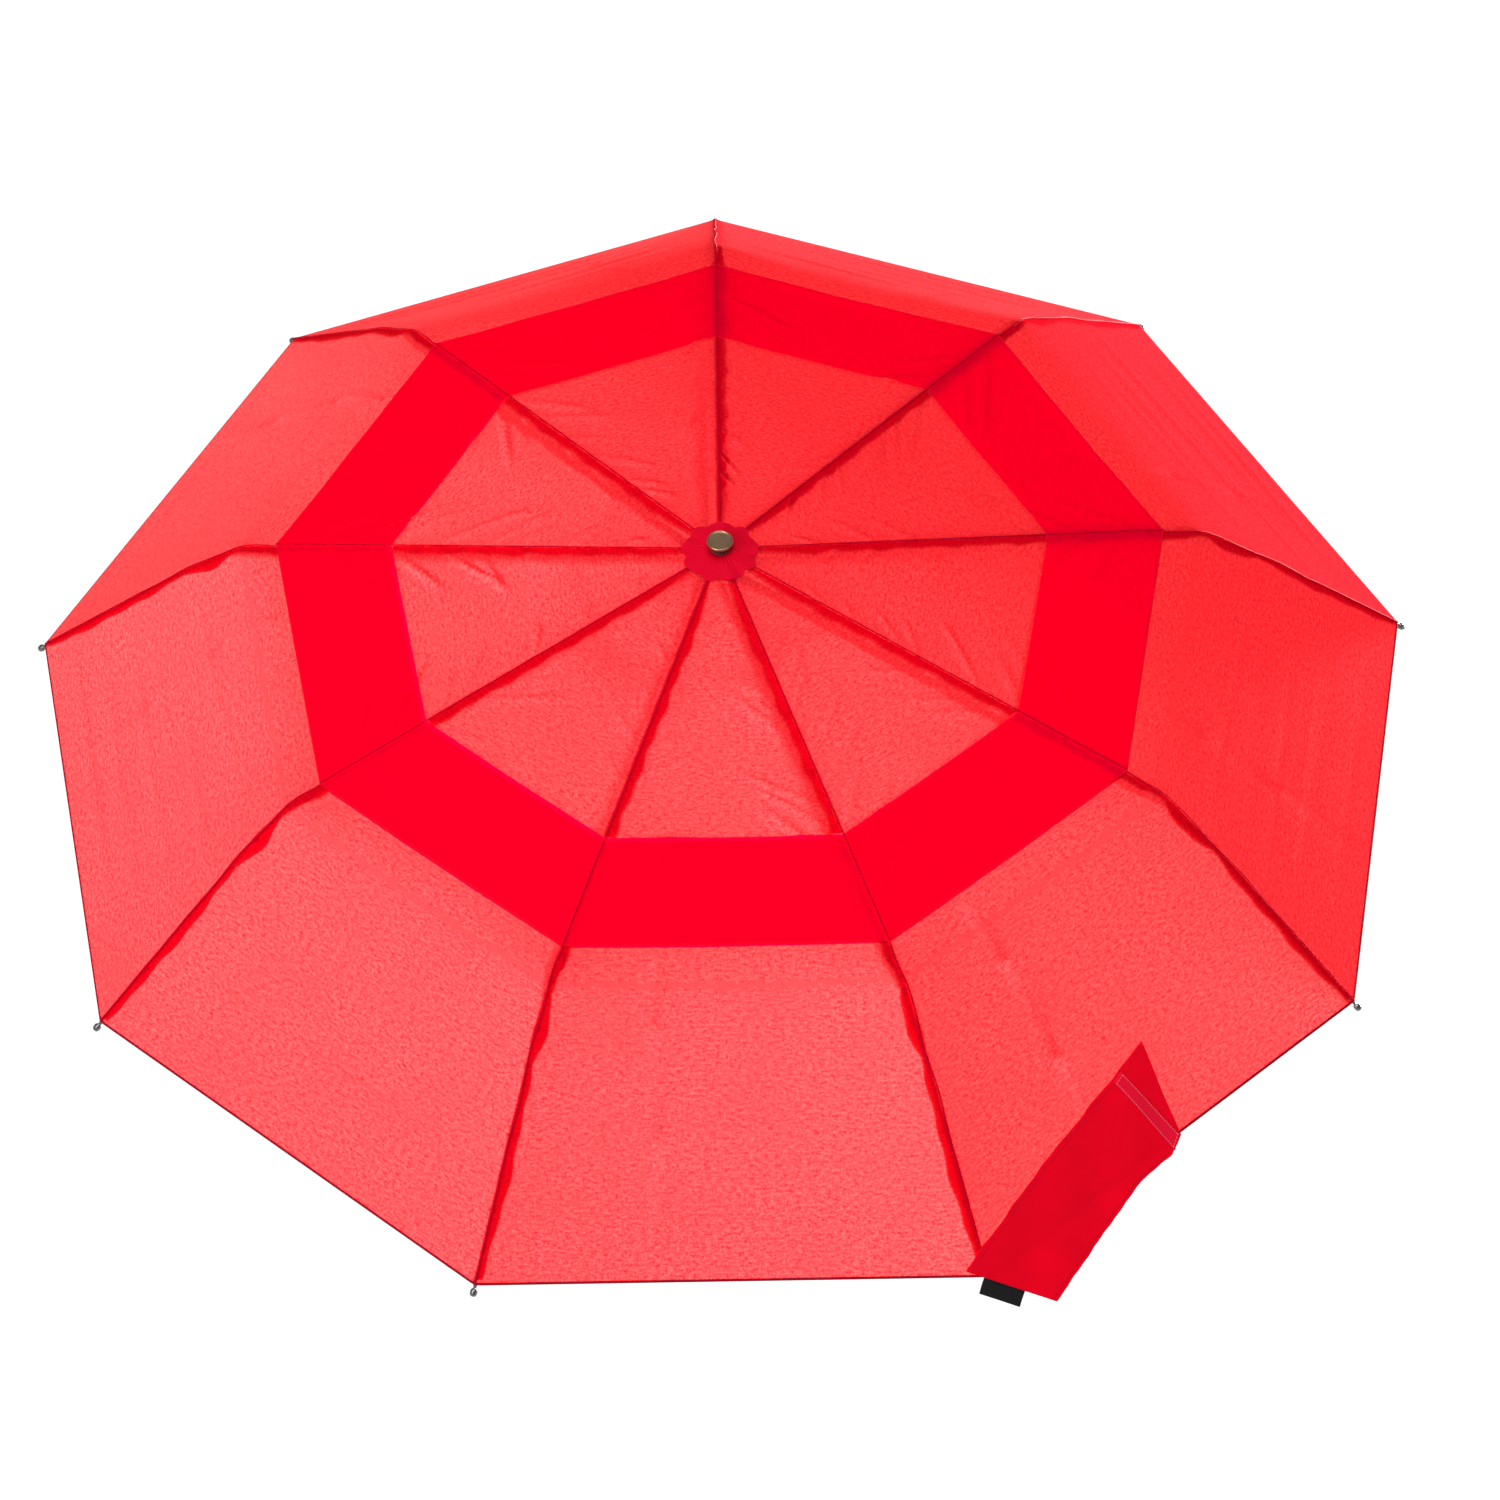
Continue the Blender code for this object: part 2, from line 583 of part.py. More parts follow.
def add_runner(plastic, steel):
    bottom = -RUNNER_SLEEVE_DROP
    profile = [(BORE_RADIUS, bottom), (RUNNER_SLEEVE_RADIUS + 0.0012, bottom)]
    profile += [(RUNNER_SLEEVE_RADIUS + 0.0012, bottom + 0.003), (RUNNER_SLEEVE_RADIUS, bottom + 0.005)]
    profile += [(RUNNER_SLEEVE_RADIUS, -0.0035), (RUNNER_FLANGE_RADIUS, -0.0035)]
    profile += [(RUNNER_FLANGE_RADIUS, 0.003)] + groove(0.003) + [(BORE_RADIUS, 0.003)]
    cuts = [slot_cutter(RUNNER_SLEEVE_RADIUS - 0.0003, -0.005, 0.005)]
    runner = combined("runner", turned(profile, ROUND_SIDES, closed=True), cuts=cuts)
    add_piece("runner", runner, plastic, location=(0, 0, RUNNER_Z), smooth=True)
    ring = mesh_from(ring_wire(), "runner_ring")
    add_piece("runner_ring", ring, steel, location=(0, 0, RUNNER_Z), smooth=True)


def add_shaft(steel, spring_steel):
    upper_low = CROWN_Z - UPPER_TUBE_DROP
    middle_low = upper_low - SECTION_VISIBLE
    spans = (
        ("upper_tube", UPPER_TUBE_RADIUS, upper_low, CROWN_Z + 0.0029),
        ("middle_tube", MIDDLE_TUBE_RADIUS, middle_low, upper_low + SECTION_OVERLAP),
        ("lower_tube", LOWER_TUBE_RADIUS, LOWER_TUBE_Z, middle_low + SECTION_OVERLAP),
    )
    for name, radius, low, high in spans:
        bm = turned(tube_section(radius - TUBE_WALL, radius, low, high), TUBE_SIDES, closed=True)
        add_piece(name, mesh_from(bm, name), steel, smooth=True)

    steps = 9 * SPRING_TURNS
    points = []
    for i in range(steps + 1):
        turn = 2 * math.pi * SPRING_TURNS * i / steps
        height = SPRING_Z[0] + (SPRING_Z[1] - SPRING_Z[0]) * i / steps
        points.append(Vector((SPRING_RADIUS * math.cos(turn), SPRING_RADIUS * math.sin(turn), height)))
    coil = swept(points, [SPRING_WIRE_RADIUS] * len(points), 4, normal=Vector((0, 0, 1)))
    add_piece("main_spring", mesh_from(coil, "main_spring"), spring_steel)


# ================================================================ handle
def add_handle(plastic, rubber, button_plastic):
    top = HANDLE_TOP_Z
    collar = HANDLE_COLLAR_RADIUS
    bore = LOWER_TUBE_RADIUS + FIT_GAP
    bore_floor = LOWER_TUBE_Z - FIT_GAP
    profile = [(0, bore_floor), (bore, bore_floor), (bore, top), (0.0125, top), (0.0155, top - 0.0025)]
    profile += [(collar, top - 0.009), (collar, 0.0165), (collar - 0.001, 0.0125), (CORE_RADIUS, 0.0125)]
    profile += [(CORE_RADIUS, GRIP_Z[0] - 0.0002), (0, GRIP_Z[0] - 0.0002)]
    half = BUTTON_SIZE[0] / 2 + 0.0004
    tall = BUTTON_SIZE[1] / 2 + 0.0004
    pocket = box((-half, -0.020, BUTTON_Z - tall), (half, BUTTON_POCKET_FLOOR, BUTTON_Z + tall))
    shell = combined("handle_shell", turned(profile, ROUND_SIDES), cuts=[pocket])
    add_piece("handle_shell", shell, plastic, smooth=True)

    low, high = GRIP_Z
    inner = CORE_RADIUS + FIT_GAP
    section = [(inner, low), (GRIP_RADIUS - 0.001, low), (GRIP_RADIUS, low + 0.0015)]
    grooves = 4
    pitch = (high - low - 0.012) / grooves
    for i in range(grooves):
        start = low + 0.006 + i * pitch
        section += [(GRIP_RADIUS, start), (GRIP_RADIUS - 0.0011, start + 0.25 * pitch)]
        section.append((GRIP_RADIUS, start + 0.5 * pitch))
    section += [(GRIP_RADIUS, high - 0.0015), (GRIP_RADIUS - 0.0007, high), (inner, high)]
    grip = mesh_from(turned(section, TUBE_SIDES, closed=True), "grip_sleeve")
    add_piece("grip_sleeve", grip, rubber, smooth=True)

    add_push_button(button_plastic)


def add_push_button(plastic):
    """Oval push button, domed outward, that slides into the collar."""
    half_width = BUTTON_SIZE[0] / 2
    straight = BUTTON_SIZE[1] / 2 - half_width
    outline = arc((0, straight), half_width, 0, 180, 8)
    outline += arc((0, -straight), half_width, 180, 360, 8)
    bm = bmesh.new()
    rows = []
    face = BUTTON_Y[0]
    for scale, y in ((1, BUTTON_Y[1]), (1, face + 0.0012), (0.9, face + 0.0003), (0.7, face)):
        rows.append([bm.verts.new((scale * u, y, scale * v)) for u, v in outline])
    bm.faces.new(rows[0])
    bm.faces.new(rows[-1])
    for first, second in zip(rows, rows[1:]):
        for i in range(len(outline)):
            j = (i + 1) % len(outline)
            bm.faces.new((first[i], first[j], second[j], second[i]))
    button = mesh_from(bm, "push_button")
    add_piece("push_button", button, plastic, location=(0, 0, BUTTON_Z), smooth=True)


def add_wrist_strap(plastic, steel, webbing):
    """End cap with a notch in its rim, the pin across the notch and the wrist loop that hangs on it."""
    top = GRIP_Z[0] - 0.0005
    rim = END_CAP_RADIUS
    profile = [(0, BASE_Z), (rim - 0.0015, BASE_Z), (rim, BASE_Z + 0.0015), (rim, top), (0, top)]
    pin = (STRAP_PIN_Y, STRAP_PIN_Z)
    notch = box((-0.0048, STRAP_PIN_Y - 0.0035, BASE_Z - 0.002), (0.0048, 0.020, top + 0.002))
    pin_hole = prism(circle(pin, STRAP_PIN_RADIUS + FIT_GAP, PIN_SIDES), -0.0073, 0.0073, "x")
    cap = combined("handle_end_cap", turned(profile, ROUND_SIDES), cuts=[notch, pin_hole])
    add_piece("handle_end_cap", cap, plastic, smooth=True)
    pin_bar = prism(circle((0, 0), STRAP_PIN_RADIUS, PIN_SIDES), -0.0070, 0.0070, "x")
    at_pin = (0, STRAP_PIN_Y, STRAP_PIN_Z)
    add_piece("strap_pin", mesh_from(pin_bar, "strap_pin"), steel, location=at_pin, smooth=True)

    neck = 0.014
    eye = 0.0026
    loop = STRAP_LOOP_RADIUS
    inner = loop - STRAP_THICKNESS
    centre = (0, -STRAP_LENGTH)
    outer_outline = arc((0, 0), eye, -30, 210, 10)
    outer_outline += [(-STRAP_THICKNESS, -0.005), (-STRAP_THICKNESS, -neck)]
    outer_outline += arc(centre, loop, 170, 370, 14)
    outer_outline += [(STRAP_THICKNESS, -neck), (STRAP_THICKNESS, -0.005)]
    inner_outline = [(0, -neck - 0.004)] + arc(centre, inner, 170, 370, 14)
    hole = STRAP_PIN_RADIUS + FIT_GAP + 0.0001
    width = STRAP_HALF_WIDTH
    cuts = [prism(inner_outline, -2 * width, 2 * width, "x")]
    cuts.append(prism(circle((0, 0), hole, PIN_SIDES), -2 * width, 2 * width, "x"))
    strap = combined("wrist_strap", prism(outer_outline, -width, width, "x"), cuts=cuts)
    add_piece("wrist_strap", strap, webbing, location=at_pin, smooth=True)


# ================================================================ the whole umbrella
def build():
    clear_scene()
    cloth = make_material("canopy_cloth", (1.0, 0.06, 0.09), 0.7)
    dark_cloth = make_material("strap_cloth", (0.75, 0.0, 0.02), 0.7)
    patch_cloth = make_material("hook_patch", (0.6, 0.12, 0.14), 0.8)
    label_cloth = make_material("label", (0.02, 0.02, 0.02), 0.8)
    webbing = make_material("webbing", (0.02, 0.02, 0.02), 0.8)
    steel = make_material("steel", (0.55, 0.55, 0.57), 0.3, 1.0)
    black_steel = make_material("black_steel", (0.03, 0.03, 0.03), 0.4, 0.8)
    spring_steel = make_material("spring_steel", (0.4, 0.4, 0.42), 0.35, 1.0)
    cap_metal = make_material("cap_metal", (0.45, 0.38, 0.3), 0.3, 1.0)
    plastic = make_material("black_plastic", (0.02, 0.02, 0.02), 0.45)
    rubber = make_material("rubber", (0.03, 0.03, 0.03), 0.8)
    button_plastic = make_material("button_plastic", (0.25, 0.25, 0.26), 0.35)

    add_arms(steel, black_steel)
    add_canopy(cloth, dark_cloth)
    add_tie_strap(dark_cloth, patch_cloth, label_cloth)
    add_crown(plastic, steel, cap_metal)
    add_runner(plastic, steel)
    add_shaft(steel, spring_steel)
    add_handle(plastic, rubber, button_plastic)
    add_wrist_strap(plastic, steel, webbing)


build()
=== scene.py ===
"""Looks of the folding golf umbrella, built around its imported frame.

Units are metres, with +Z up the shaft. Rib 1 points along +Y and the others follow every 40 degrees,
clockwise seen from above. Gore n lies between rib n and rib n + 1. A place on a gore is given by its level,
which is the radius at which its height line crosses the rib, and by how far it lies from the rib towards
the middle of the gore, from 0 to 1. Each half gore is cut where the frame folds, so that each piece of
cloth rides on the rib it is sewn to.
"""
import json
import math

import bpy
import numpy as np
from mathutils import Matrix, Vector


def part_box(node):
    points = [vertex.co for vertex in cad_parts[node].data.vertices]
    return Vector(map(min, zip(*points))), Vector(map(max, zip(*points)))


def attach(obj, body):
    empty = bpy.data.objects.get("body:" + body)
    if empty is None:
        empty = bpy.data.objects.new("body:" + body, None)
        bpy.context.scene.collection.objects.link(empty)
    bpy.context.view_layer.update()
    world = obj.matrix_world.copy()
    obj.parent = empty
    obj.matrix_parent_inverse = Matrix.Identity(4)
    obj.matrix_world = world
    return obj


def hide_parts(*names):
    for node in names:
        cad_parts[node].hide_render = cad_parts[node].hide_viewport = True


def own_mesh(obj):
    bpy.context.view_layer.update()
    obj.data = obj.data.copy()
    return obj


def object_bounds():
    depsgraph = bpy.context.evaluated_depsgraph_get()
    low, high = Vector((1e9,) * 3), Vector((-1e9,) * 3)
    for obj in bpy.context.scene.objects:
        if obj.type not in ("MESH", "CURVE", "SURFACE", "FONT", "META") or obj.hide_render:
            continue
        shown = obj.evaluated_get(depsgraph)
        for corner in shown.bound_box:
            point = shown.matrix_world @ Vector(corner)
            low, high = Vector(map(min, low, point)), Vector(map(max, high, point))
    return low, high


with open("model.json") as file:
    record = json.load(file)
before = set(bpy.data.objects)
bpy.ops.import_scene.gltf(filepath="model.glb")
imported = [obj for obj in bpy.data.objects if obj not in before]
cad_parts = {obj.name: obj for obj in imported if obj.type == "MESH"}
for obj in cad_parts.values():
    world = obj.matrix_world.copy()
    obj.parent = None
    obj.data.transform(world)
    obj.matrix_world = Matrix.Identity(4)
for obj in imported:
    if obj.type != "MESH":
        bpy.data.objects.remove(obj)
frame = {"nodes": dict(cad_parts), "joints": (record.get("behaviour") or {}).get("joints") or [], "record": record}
cad_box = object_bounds()
JOINTS = {joint["name"]: joint for joint in frame["joints"]}


def joint_point(name):
    return Vector(JOINTS[name]["pos_m"])


# ==== sizes taken from the frame
RIB_COUNT = 9
HALF_CHORD = math.sin(math.pi / RIB_COUNT)  # half a gore's width for each metre of level
HEM_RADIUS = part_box("main_canopy")[1].y
HEM_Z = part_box("main_canopy")[0].z + 0.0006
VENT_HEM_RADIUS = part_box("vent_canopy")[1].y
ROSETTE_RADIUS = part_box("rosette")[1].y
ELBOW_LEVEL = joint_point("middle_rib_1_fold").y  # where each arm's top and middle ribs meet

# ==== canopy
BEND_RADIUS = 0.4736  # where the cloth turns down to the tips
KNEE_RADIUS = 0.4225  # where each arm's middle and tail ribs meet
LOWER_EDGE_RADIUS = 0.2854  # inner edge of the lower canopy, under the vent
COLLAR_RADIUS = 0.006  # inner edge of the vent, under the rosette
INNER_FALL = 0.1656  # fall of the cloth for each metre of level, inside the knee
KNEE_FALL = 0.7828  # between the knee and the bend
OUTER_FALL = 0.9264  # from the bend to the hem
KNEE_Z = HEM_Z + 0.171
VENT_LIFT = 0.00304  # of the vent above the lower canopy
RIB_ROUNDING = 0.003  # how softly the cloth turns over the knee and the bend, at a rib
MIDDLE_ROUNDING = 0.015  # and in the middle of a gore
GORE_SAG = 0.004
RIDGE_HEIGHT = 0.0007  # the sewn ridge over each rib
RIDGE_WIDTH = 0.0010
# seam allowance as wide as the rib and its shadow seen through the cloth: partly real seam, partly painted shade
SEAM_WIDTH = 0.0088
SEAM_DROP = 0.0007
SEAM_HANG = 0.0007  # how far the free edge of the seam allowance hangs below the cloth
SWAY_START = 0.392  # level from which the ridge sways, its casing being loose
SWAY_WAVE = 0.062
SWAY = 0.0011
HEM_HALF_WIDTH = 0.0013
HEM_HALF_THICKNESS = 0.0006
ROW_SPACING = 0.003
SEAM_COLUMNS = (0.0, 0.0006, 0.0012, 0.0020, 0.0032)  # distances from the rib line
FIELD_COLUMNS = 18
SEAM_START = 0.012
TOP_TIES = (0.032, 0.105, 0.165)  # levels of the thread ties on the top rib
VENT_TIES = (0.2235, 0.262)  # on the middle rib, through the vent
LOWER_TIES = (0.33, 0.392)  # on the middle rib, through the lower canopy
TAIL_TIES = (0.4295, 0.452, 0.4760, 0.520, 0.566)
TIED_LEVELS = TAIL_TIES[0], TAIL_TIES[2]  # where the loose casing past the knee is tied tight
THREAD_TURNS = 3
THREAD_PITCH = 0.0007
THREAD_RADIUS = 0.00028
LOOP_HALF_WIDTH = 0.0027
LOOP_DROP = 0.0062  # height of a loop of thread, and of the one on the thinner tail rib
TAIL_LOOP_DROP = 0.0048
# for each panel: link it rides on, its fall, tilt of its pleat, level it gathers about, nodes it replaces
PANELS = {
    "top": ("top_rib", INNER_FALL, math.radians(8), 0.12, ["vent_canopy"]),
    "middle": ("middle_rib", INNER_FALL, math.radians(-6), 0.30, ["vent_canopy", "main_canopy"]),
    "outer": ("tail_rib", OUTER_FALL, math.radians(4), 0.55, ["main_canopy"]),
}

SEED = 11
OUTER_FOLDS = {1: (5, 1.0), 2: (7, 1.25), 3: (5, 0.9), 4: (3, 0.5), 5: (4, 0.5), 6: (3, 0.4), 7: (6, 1.2),
               8: (7, 1.1), 9: (5, 1.0)}  # soft folds along the hem, and their strength, for each gore
FOLD_HEIGHT = 0.0018
PULL_HEIGHT = 0.0042  # of the short pulls that start at the ribs
BROAD_HEIGHT = 0.0006  # of the slow waves all over the cloth
CREASE_OFFSET = 0.28 * HEM_RADIUS * HALF_CHORD  # of the ironed crease, from the middle of a gore
CREASE_HEIGHT = 0.0016
CROSS_CREASE_LEVEL = 0.545  # of the crease that crosses it
CROSS_CREASE_DEPTH = 0.0014


# ==== materials
class Nodes:
    """Short way to build a material's nodes; an input takes a value, a colour or another node's socket."""

    def __init__(self, name, colour, roughness, metallic=0.0):
        self.material = bpy.data.materials.new(name)
        self.material.use_nodes = True
        self.tree = self.material.node_tree
        self.shader = self.tree.nodes["Principled BSDF"]
        self.output = self.tree.nodes["Material Output"]
        self.give({"Base Color": colour, "Roughness": roughness, "Metallic": metallic})
        self.coordinates = None

    def feed(self, socket, value):
        if isinstance(value, bpy.types.NodeSocket):
            self.tree.links.new(value, socket)
        elif socket.type == "RGBA":
            socket.default_value = (*value, 1)
        else:
            socket.default_value = value

    def give(self, inputs, node=None):
        """Feeds the inputs of a node, or of the surface shader."""
        for key, value in inputs.items():
            self.feed((node or self.shader).inputs[key], value)

    def add(self, kind, inputs=None, **settings):
        node = self.tree.nodes.new(kind)
        for key, value in settings.items():
            setattr(node, key, value)
        self.give(inputs or {}, node)
        return node

    def place(self, attribute=None):
        """Coordinates in metres: the object's own, or those kept on the mesh."""
        if attribute:
            return self.add("ShaderNodeAttribute", attribute_name=attribute).outputs["Vector"]
        if self.coordinates is None:
            self.coordinates = self.add("ShaderNodeTexCoord").outputs["Object"]
        return self.coordinates

    def stretched(self, source, scale):
        return self.add("ShaderNodeMapping", {"Scale": scale, "Vector": source}).outputs["Vector"]

    def noise(self, source, scale, detail=2.0, rough=0.5):
        inputs = {"Scale": scale, "Detail": detail, "Roughness": rough, "Vector": source}
        return self.add("ShaderNodeTexNoise", inputs).outputs["Fac"]

    def bands(self, source, direction, scale, distortion, detail=2.0):
        inputs = {"Scale": scale, "Distortion": distortion, "Detail": detail, "Vector": source}
        wave = self.add("ShaderNodeTexWave", inputs, wave_type="BANDS", bands_direction=direction)
        return wave.outputs["Fac"]

    def math(self, operation, first, second):
        return self.add("ShaderNodeMath", {0: first, 1: second}, operation=operation).outputs[0]

    def between(self, factor, low, high):
        """A number that goes from low to high as the factor goes from 0 to 1."""
        return self.add("ShaderNodeMapRange", {"To Min": low, "To Max": high, "Value": factor}).outputs[0]

    def blend(self, factor, first, second):
        """Colour that goes from the first to the second as the factor goes from 0 to 1."""
        return self.add("ShaderNodeMix", {0: factor, 6: first, 7: second}, data_type="RGBA").outputs[2]

    def bump(self, height, distance, strength):
        inputs = {"Strength": strength, "Distance": distance, "Height": height}
        normal = self.add("ShaderNodeBump", inputs).outputs["Normal"]
        self.give({"Normal": normal})
        return normal


def see_light_through(nodes, share, colour, normal):
    """Mixes in a share of translucent cloth, with the same relief as the surface."""
    glow = nodes.add("ShaderNodeBsdfTranslucent", {"Color": colour, "Normal": normal})
    layers = {"Fac": share, 1: nodes.shader.outputs["BSDF"], 2: glow.outputs["BSDF"]}
    mix = nodes.add("ShaderNodeMixShader", layers)
    nodes.give({"Surface": mix.outputs["Shader"]}, nodes.output)


def tinted(colour, factor, lift=0.0):
    """A colour made darker or lighter, no channel over 1."""
    return tuple(min(1.0, factor * value + lift) for value in colour)


def weave_grain(nodes, source):
    """Mottled grain of a thin plain weave: slubs that run with the hem, and finer specks."""
    slubs = nodes.noise(nodes.stretched(source, (190, 430, 1)), 1.0, 3.0, 0.65)
    threads = nodes.noise(nodes.stretched(source, (540, 240, 1)), 1.0, 2.0, 0.6)
    specks = nodes.noise(source, 480, 3.0, 0.7)
    grain = nodes.math("ADD", nodes.math("MULTIPLY", slubs, 0.45), nodes.math("MULTIPLY", threads, 0.2))
    grain = nodes.math("ADD", grain, nodes.math("MULTIPLY", specks, 0.35))
    return nodes.math("ADD", nodes.math("MULTIPLY", nodes.math("SUBTRACT", grain, 0.5), 5.0), 0.5)


def canopy_cloth():
    """Thin red pongee: paler where one layer lets light through. Where two layers lie together its colours are
    made deeper red, painted shade of the light that the second layer holds back.
    """
    nodes = Nodes("canopy_cloth", (0.80, 0.006, 0.024), 0.62)
    place = nodes.place("cloth")
    grain = weave_grain(nodes, place)
    level = nodes.add("ShaderNodeAttribute", attribute_name="level").outputs["Fac"]
    inside = nodes.math("LESS_THAN", level, VENT_HEM_RADIUS + 0.0001)
    outside = nodes.math("GREATER_THAN", level, LOWER_EDGE_RADIUS + 0.0015)
    # zone where the vent lies over the lower canopy, which the colours below darken as painted shade
    doubled_painted_shade = nodes.math("MULTIPLY", inside, outside)
    cloudy = nodes.noise(place, 16, 3.0)
    single = nodes.blend(grain, (0.92, 0.010, 0.017), (0.98, 0.074, 0.068))
    single = nodes.blend(nodes.between(cloudy, -0.45, 0.65), single, (0.95, 0.032, 0.033))
    # translucent colour of the doubled zone: painted shade, on top of the light that the two drawn layers already
    # hold back
    twice_painted_shade = nodes.blend(grain, (0.94, 0.000, 0.016), (0.97, 0.001, 0.020))
    surface = nodes.blend(grain, (0.74, 0.000, 0.016), (0.84, 0.003, 0.026))
    nodes.give({
        # base colour of the doubled zone, part of the same painted shade
        "Base Color": nodes.blend(doubled_painted_shade, surface, (0.78, 0.000, 0.045)),
        "Roughness": nodes.between(grain, 0.46, 0.62),
        "Specular IOR Level": 0.0,
        "Sheen Weight": 0.07,
        "Sheen Roughness": 0.25,
    })
    normal = nodes.bump(grain, 0.00030, 0.5)
    see_light_through(nodes, 0.70, nodes.blend(doubled_painted_shade, single, twice_painted_shade), normal)
    return nodes.material


def sewn_cloth(name, colour, glow, share):
    """Doubled or gathered cloth: seams, hem, rosette and tie strap."""
    nodes = Nodes(name, colour, 0.7)
    place = nodes.place()
    fine = nodes.noise(place, 1400, 2.0, 0.6)
    cloudy = nodes.noise(place, 60, 2.0)
    woven = nodes.blend(fine, tinted(colour, 0.72), tinted(colour, 1.12, 0.001))
    nodes.give({
        "Base Color": nodes.blend(nodes.between(cloudy, 0.1, 0.9), woven, colour),
        "Roughness": nodes.between(fine, 0.6, 0.8),
        "Specular IOR Level": 0.04,
    })
    normal = nodes.bump(fine, 0.00025, 0.6)
    see_light_through(nodes, share, glow, normal)
    return nodes.material


def hook_tape():
    """Ribbed hook tape: fine ribs across a muted rose ground."""
    nodes = Nodes("hook_tape", (0.50, 0.040, 0.070), 0.8)
    place = nodes.place("cloth")
    ribs = nodes.bands(place, "Y", 200, 1.5, 1.0)
    fuzz = nodes.noise(place, 1500, 2.0)
    nodes.give({
        "Base Color": nodes.blend(ribs, (0.60, 0.000, 0.020), (0.90, 0.006, 0.040)),
        "Roughness": nodes.between(fuzz, 0.6, 0.9),
        "Specular IOR Level": 0.08,
    })
    height = nodes.math("ADD", ribs, nodes.math("MULTIPLY", fuzz, 0.5))
    nodes.bump(height, 0.0003, 0.8)
    return nodes.material


def woven_tape(name, colour, light, scale=900):
    """Close ribbed tape, such as the wrist strap and the label."""
    nodes = Nodes(name, colour, 0.75)
    place = nodes.place("cloth")
    warp = nodes.bands(place, "X", scale, 0.6)
    weft = nodes.bands(place, "Y", scale * 0.7, 0.6)
    height = nodes.math("MULTIPLY", warp, weft)
    nodes.give({
        "Base Color": nodes.blend(height, colour, light),
        "Roughness": nodes.between(nodes.noise(place, 300), 0.6, 0.85),
        "Specular IOR Level": 0.2,
    })
    nodes.bump(height, 0.0002, 0.8)
    return nodes.material


def brushed_metal(name, colour, rough, stretch):
    """Plated or polished metal with fine brushing along one direction and faint handling marks."""
    nodes = Nodes(name, colour, rough[0], 1.0)
    lines = nodes.noise(nodes.stretched(nodes.place(), stretch), 1.0, 4.0, 0.65)
    marks = nodes.noise(nodes.place(), 90, 4.0)
    brushed = nodes.blend(lines, tinted(colour, 0.75), tinted(colour, 1.18))
    nodes.give({
        "Base Color": nodes.blend(nodes.between(marks, 0.1, 0.9), brushed, colour),
        "Roughness": nodes.between(nodes.math("MULTIPLY", lines, marks), rough[0], rough[1] + 0.15),
    })
    nodes.bump(lines, 0.00003, 0.5)
    return nodes.material


def painted_steel(name, colour):
    """Black stoved paint on steel, a little thin and worn through in small scattered patches."""
    nodes = Nodes(name, colour, 0.38)
    peel = nodes.noise(nodes.place(), 900, 2.0)
    wear = nodes.noise(nodes.place(), 120, 5.0, 0.7)
    worn = nodes.math("GREATER_THAN", wear, 0.69)
    nodes.give({
        "Base Color": nodes.blend(worn, colour, (0.16, 0.155, 0.15)),
        "Roughness": nodes.between(peel, 0.28, 0.5),
        "Coat Weight": 0.25,
    })
    nodes.bump(peel, 0.00004, 0.5)
    return nodes.material


def moulded(name, colour, rough, scale=700, depth=0.00006):
    """Moulded plastic or rubber with a fine spark-eroded grain."""
    nodes = Nodes(name, colour, rough[0])
    grain = nodes.noise(nodes.place(), scale, 3.0, 0.6)
    smudge = nodes.noise(nodes.place(), 40, 3.0)
    nodes.give({
        "Base Color": nodes.blend(nodes.between(smudge, -0.2, 0.8), colour, tinted(colour, 1.5, 0.004)),
        "Roughness": nodes.between(grain, *rough),
    })
    nodes.bump(grain, depth, 0.8)
    return nodes.material


CLOTH = canopy_cloth()
# dark seam cloth: partly the real folded allowance, partly painted shade of the rib beneath it
SEAM = sewn_cloth("seam_cloth", (0.50, 0.000, 0.018), (0.62, 0.000, 0.026), 0.20)
# dark hem binding: partly the real thick binding and thread, partly painted shade in its folds
HEM = sewn_cloth("hem_binding", (0.30, 0.004, 0.016), (0.30, 0.000, 0.012), 0.12)
THREAD = sewn_cloth("thread", (0.42, 0.006, 0.030), (0.5, 0.0, 0.02), 0.10)
PALE_THREAD = sewn_cloth("pale_thread", (0.90, 0.16, 0.17), (0.9, 0.2, 0.2), 0.15)
TRIM = sewn_cloth("trim_cloth", (0.78, 0.000, 0.016), (0.95, 0.000, 0.022), 0.20)
GATHERED = sewn_cloth("gathered_cloth", (0.64, 0.000, 0.018), (0.85, 0.000, 0.022), 0.15)
HOOKS = hook_tape()
LABEL = woven_tape("label_weave", (0.003, 0.003, 0.004), (0.012, 0.012, 0.013))
WEBBING = woven_tape("webbing", (0.010, 0.010, 0.011), (0.050, 0.050, 0.052), 700)
CAP_METAL = brushed_metal("cap_metal", (0.34, 0.22, 0.13), (0.22, 0.38), (120, 3000, 120))
TIP_METAL = brushed_metal("tip_metal", (0.17, 0.165, 0.165), (0.24, 0.42), (500, 500, 500))
BRIGHT_STEEL = brushed_metal("bright_steel", (0.42, 0.41, 0.40), (0.24, 0.45), (400, 400, 40))
RIB_PAINT = painted_steel("rib_paint", (0.018, 0.018, 0.019))
SHAFT_PAINT = painted_steel("shaft_paint", (0.030, 0.030, 0.033))
HUB_PLASTIC = moulded("hub_plastic", (0.014, 0.014, 0.015), (0.40, 0.60))
HANDLE_PLASTIC = moulded("handle_plastic", (0.013, 0.013, 0.014), (0.42, 0.62), 500, 0.00010)
BUTTON_PLASTIC = moulded("button_plastic", (0.19, 0.19, 0.20), (0.22, 0.34), 900, 0.00003)
GRIP_RUBBER = moulded("grip_rubber", (0.012, 0.012, 0.012), (0.70, 0.90), 1100, 0.00016)


